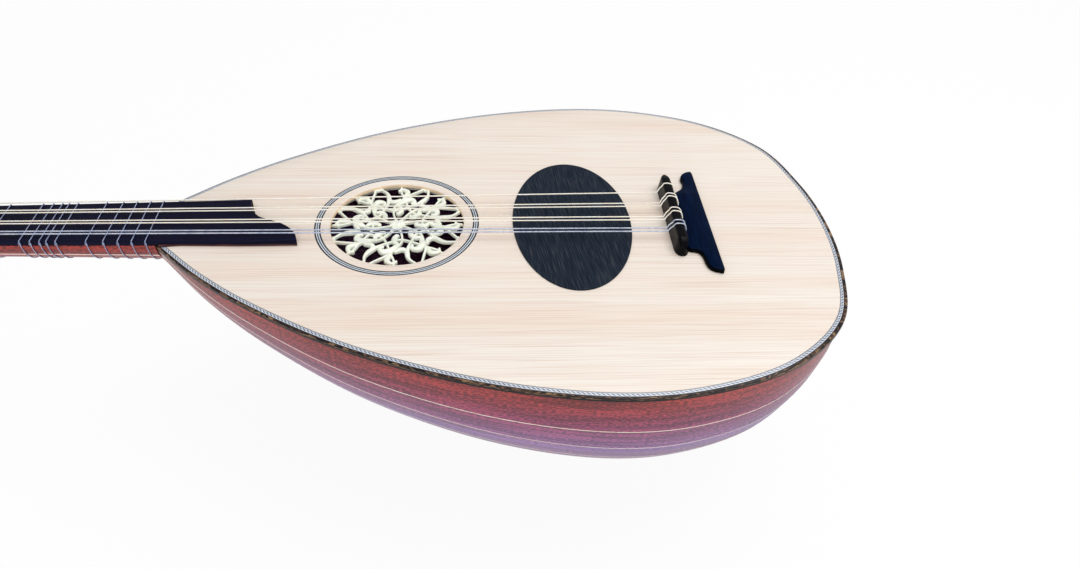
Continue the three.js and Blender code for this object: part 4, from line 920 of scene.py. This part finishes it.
for number, commas in enumerate(FRET_COMMAS + NUT_SIDE_COMMAS):
    x = SCALE_END - SCALE * 2 ** (-commas / COMMAS_IN_OCTAVE)
    half = neck_half(x)
    corner = np.linspace(0, np.pi / 2, 7)
    # Over the board, round its far corner, under the neck, and up round its near corner.
    over = np.stack([np.linspace(-half, half, 12), np.full(12, BOARD_TOP + FRET_LIFT)], 1)
    down = np.stack([half + FRET_LIFT * np.sin(corner), BOARD_TOP + FRET_LIFT * np.cos(corner)], 1)[1:]
    under = neck_surface(np.array(x), np.linspace(0, np.pi, 40), FRET_LIFT)[:, 1:]
    loop = np.concatenate([over, down, under, down[::-1][:-1] * (-1, 1)])
    loop = np.column_stack([np.full(len(loop), x), loop])
    # The knot is two and a half turns of the strand about itself.
    t = np.linspace(0, 1, 40)
    twist = 5 * np.pi * t
    knot = np.stack([x + KNOT_COIL * np.cos(twist), -half - KNOT_OUT + KNOT_COIL * np.sin(twist),
                     KNOT_LOW + KNOT_TALL * t], 1)
    seen = number < len(FRET_COMMAS)
    strand = tube(loop, FRET_RADIUS, 10, (1, 0, 0), around=True)
    make_piece(f"tied_fret_{number + 1}",
               [np.concatenate([strand, strand[:1]]), tube(knot, KNOT_STRAND, 8, (0, 0, 1))], IN_NECK, nylon,
               f"fret_{number + 1}_sliding" if seen else "instrument", f"fret_{number + 1}" if seen else None,
               sharp=60)

# Strings
# Seven strings in four courses: a single one and two pairs of plain cream gut, and a lowest pair wound with
# silvery wire. Each rises from its hole behind the tie block, passes over it to its knot in front, and winds
# on its peg.
STRING_AT_BRIDGE, NUT_TOP, NUT_SLOT, TURNS, TURN_STEP = 6.5, 5.7, 0.05, 2.25, 1.5
GUT_RADIUS, WOUND_RADIUS, WOUND_STEP, STRING_SIDES, FIRST_WOUND = 0.42, 0.44, 0.6, 10, 5
BLOCK_CORNER, CLEAR_OF_BLOCK, CLEAR_OF_PEG = 9.6, 0.1, 0.4
# Where each string stands across the instrument at the bridge and at the nut, where its loop crosses the
# block's top, its peg, and how far from the trough's middle it winds.
STRINGS = (
    (24.3, 14.1, 28.0, 0, 0.64), (12.25, 8.4, 16.7, 2, 0.45), (8.85, 6.4, 13.4, 4, 0.2),
    (-2.65, -0.13, 0.9, 6, -0.05), (-6.05, -2.13, -3.0, 5, -0.3), (-14.7, -9.15, -12.6, 3, -0.5),
    (-18.1, -11.15, -16.4, 1, -0.62))
# Gut: cream, faintly clouded along its length, with a soft gloss.
gut, surface = new_material("plain_gut", 0.3, Coat_Weight=0.3, Coat_Roughness=0.12, Subsurface_Weight=0.2)
surface.inputs["Subsurface Radius"].default_value = (0.001, 0.0008, 0.0006)
place = add_node(gut, "TexCoord")
mottle = add_node(gut, "TexNoise", {"Vector": place.outputs["Object"], "Scale": 260, "Detail": 2})
colour = add_node(gut, "ValToRGB", {"Fac": mottle}, ramp=[(0.3, "fff2de"), (0.7, "fffbf4")])
feed(gut, surface, colour.outputs[0])
# Silvered copper wire wound on a core: bluish grey. The real turns, 0.15 mm apart, are drawn at 0.6 mm.
wound, surface = new_material("silvered_winding", 0.3, Metallic=0.35)
place = add_node(wound, "UVMap", uv_map="surface_mm")
split = add_node(wound, "SeparateXYZ", {0: place})
phase = add_node(wound, "Math", {0: split.outputs[0], 1: 2 * np.pi / WOUND_STEP}, operation="MULTIPLY")
wave = add_node(wound, "Math", {0: phase}, operation="SINE")
mottle = add_node(wound, "TexNoise", {"Vector": place, "Scale": 0.4}, noise_dimensions="2D")
colour = add_node(wound, "ValToRGB", {"Fac": mottle}, ramp=[(0.3, "b4bed8"), (0.7, "dae0ee")])
relief = add_node(wound, "Bump", {"Strength": 0.35, "Distance": 0.00015, "Height": wave})
feed(wound, surface, colour.outputs[0], relief)

for number, (bridge_y, nut_y, crest_y, order, winding_share) in enumerate(STRINGS):
    is_wound = number >= FIRST_WOUND
    r = WOUND_RADIUS if is_wound else GUT_RADIUS
    lift = r + CLEAR_OF_BLOCK
    # From its hole behind the block the string goes up and over it, leans out to its crest, and comes down in
    # front to where the knot holds it at playing height.
    line = block_line(lift)
    line = line[(line[:, 1] > BLOCK_CORNER) | (line[:, 0] > 4) & (line[:, 1] > STRING_AT_BRIDGE + lift)]
    line = np.concatenate([[(-2.8, STRING_AT_BRIDGE + 0.1), (-1.5, STRING_AT_BRIDGE + 1.6)], line])
    t = run_along(line) / run_along(line)[-1]
    lean = bridge_y + (crest_y - bridge_y) * np.sin(np.pi * t) ** 0.9
    behind = line[-1, 0]
    loop = np.concatenate([[(behind - 4, bridge_y, STRING_AT_BRIDGE),
                            (behind - 0.4, bridge_y, STRING_AT_BRIDGE),
                            (behind + 0.05, bridge_y, STRING_AT_BRIDGE + 0.3)],
                           np.stack([line[:, 0], lean, line[:, 1]], 1)[::-1]])
    at_bridge = moved(IN_BODY, loop + (BRIDGE_X, 0, 0))
    nut_z = NUT_TOP + NUT_SLOT + r
    at_nut = moved(IN_NECK, np.array([(NUT_X + 3, nut_y, nut_z), (NUT_X - NUT_LONG - 0.7, nut_y, nut_z)]))
    x = -PEG_FIRST - PEG_STEP * order
    half = pegbox_half(x)
    middle = winding_share * (half - 4)
    t = np.linspace(0, 1, 82)
    y = middle + TURNS * TURN_STEP * (0.5 - t) * (1 if middle >= 0 else -1)
    radius = peg_radius(-y if order % 2 else y, half) + r + CLEAR_OF_PEG
    a = np.pi / 2 + 2 * np.pi * TURNS * t
    winding = moved(IN_PEGBOX, np.stack([x + radius * np.cos(a), y, -PEG_DEEP + radius * np.sin(a)], 1))
    fine = centripetal(at_bridge, np.linspace(0, 1, 8 * (len(at_bridge) - 1) + 1))
    route = np.concatenate([fine, at_nut, winding])
    cord = tube(route, r, STRING_SIDES, (0, 1, 0))
    uv = grid_of(run_along(route)[:, None], np.arange(STRING_SIDES) * 2 * np.pi * r / STRING_SIDES)
    make_piece(f"string_{number + 1}_cord", [cord], np.eye(4), wound if is_wound else gut, "instrument",
               f"string_{number + 1}", uv=uv, sharp=70)

# Light
# A broad soft lamp high up at the tail's side, a weaker one from the camera's side, and an even surround.
world = bpy.data.worlds.new("pale_room")
bpy.context.scene.world = world
world.use_nodes = True
world.node_tree.nodes["Background"].inputs["Color"].default_value = (1, 1, 1, 1)
world.node_tree.nodes["Background"].inputs["Strength"].default_value = 0.5


def lamp(name, place, target, size, power):
    """A square area lamp at a place, turned to a target, all in metres and watts."""
    made = bpy.data.objects.new(name, bpy.data.lights.new(name, "AREA"))
    made.data.size, made.data.energy = size, power
    bpy.context.collection.objects.link(made)
    made.location = place
    aim = mathutils.Vector(target) - mathutils.Vector(place)
    made.rotation_euler = aim.to_track_quat("-Z", "Y").to_euler()


lamp("high_lamp", (0.8, 0.1, 1.6), (0.15, 0, 0.1), 1.1, 14)
lamp("front_lamp", (0.1, -1.6, 0.9), (0.15, 0, 0.1), 1.2, 8)
bpy.context.scene.view_settings.view_transform = "Standard"
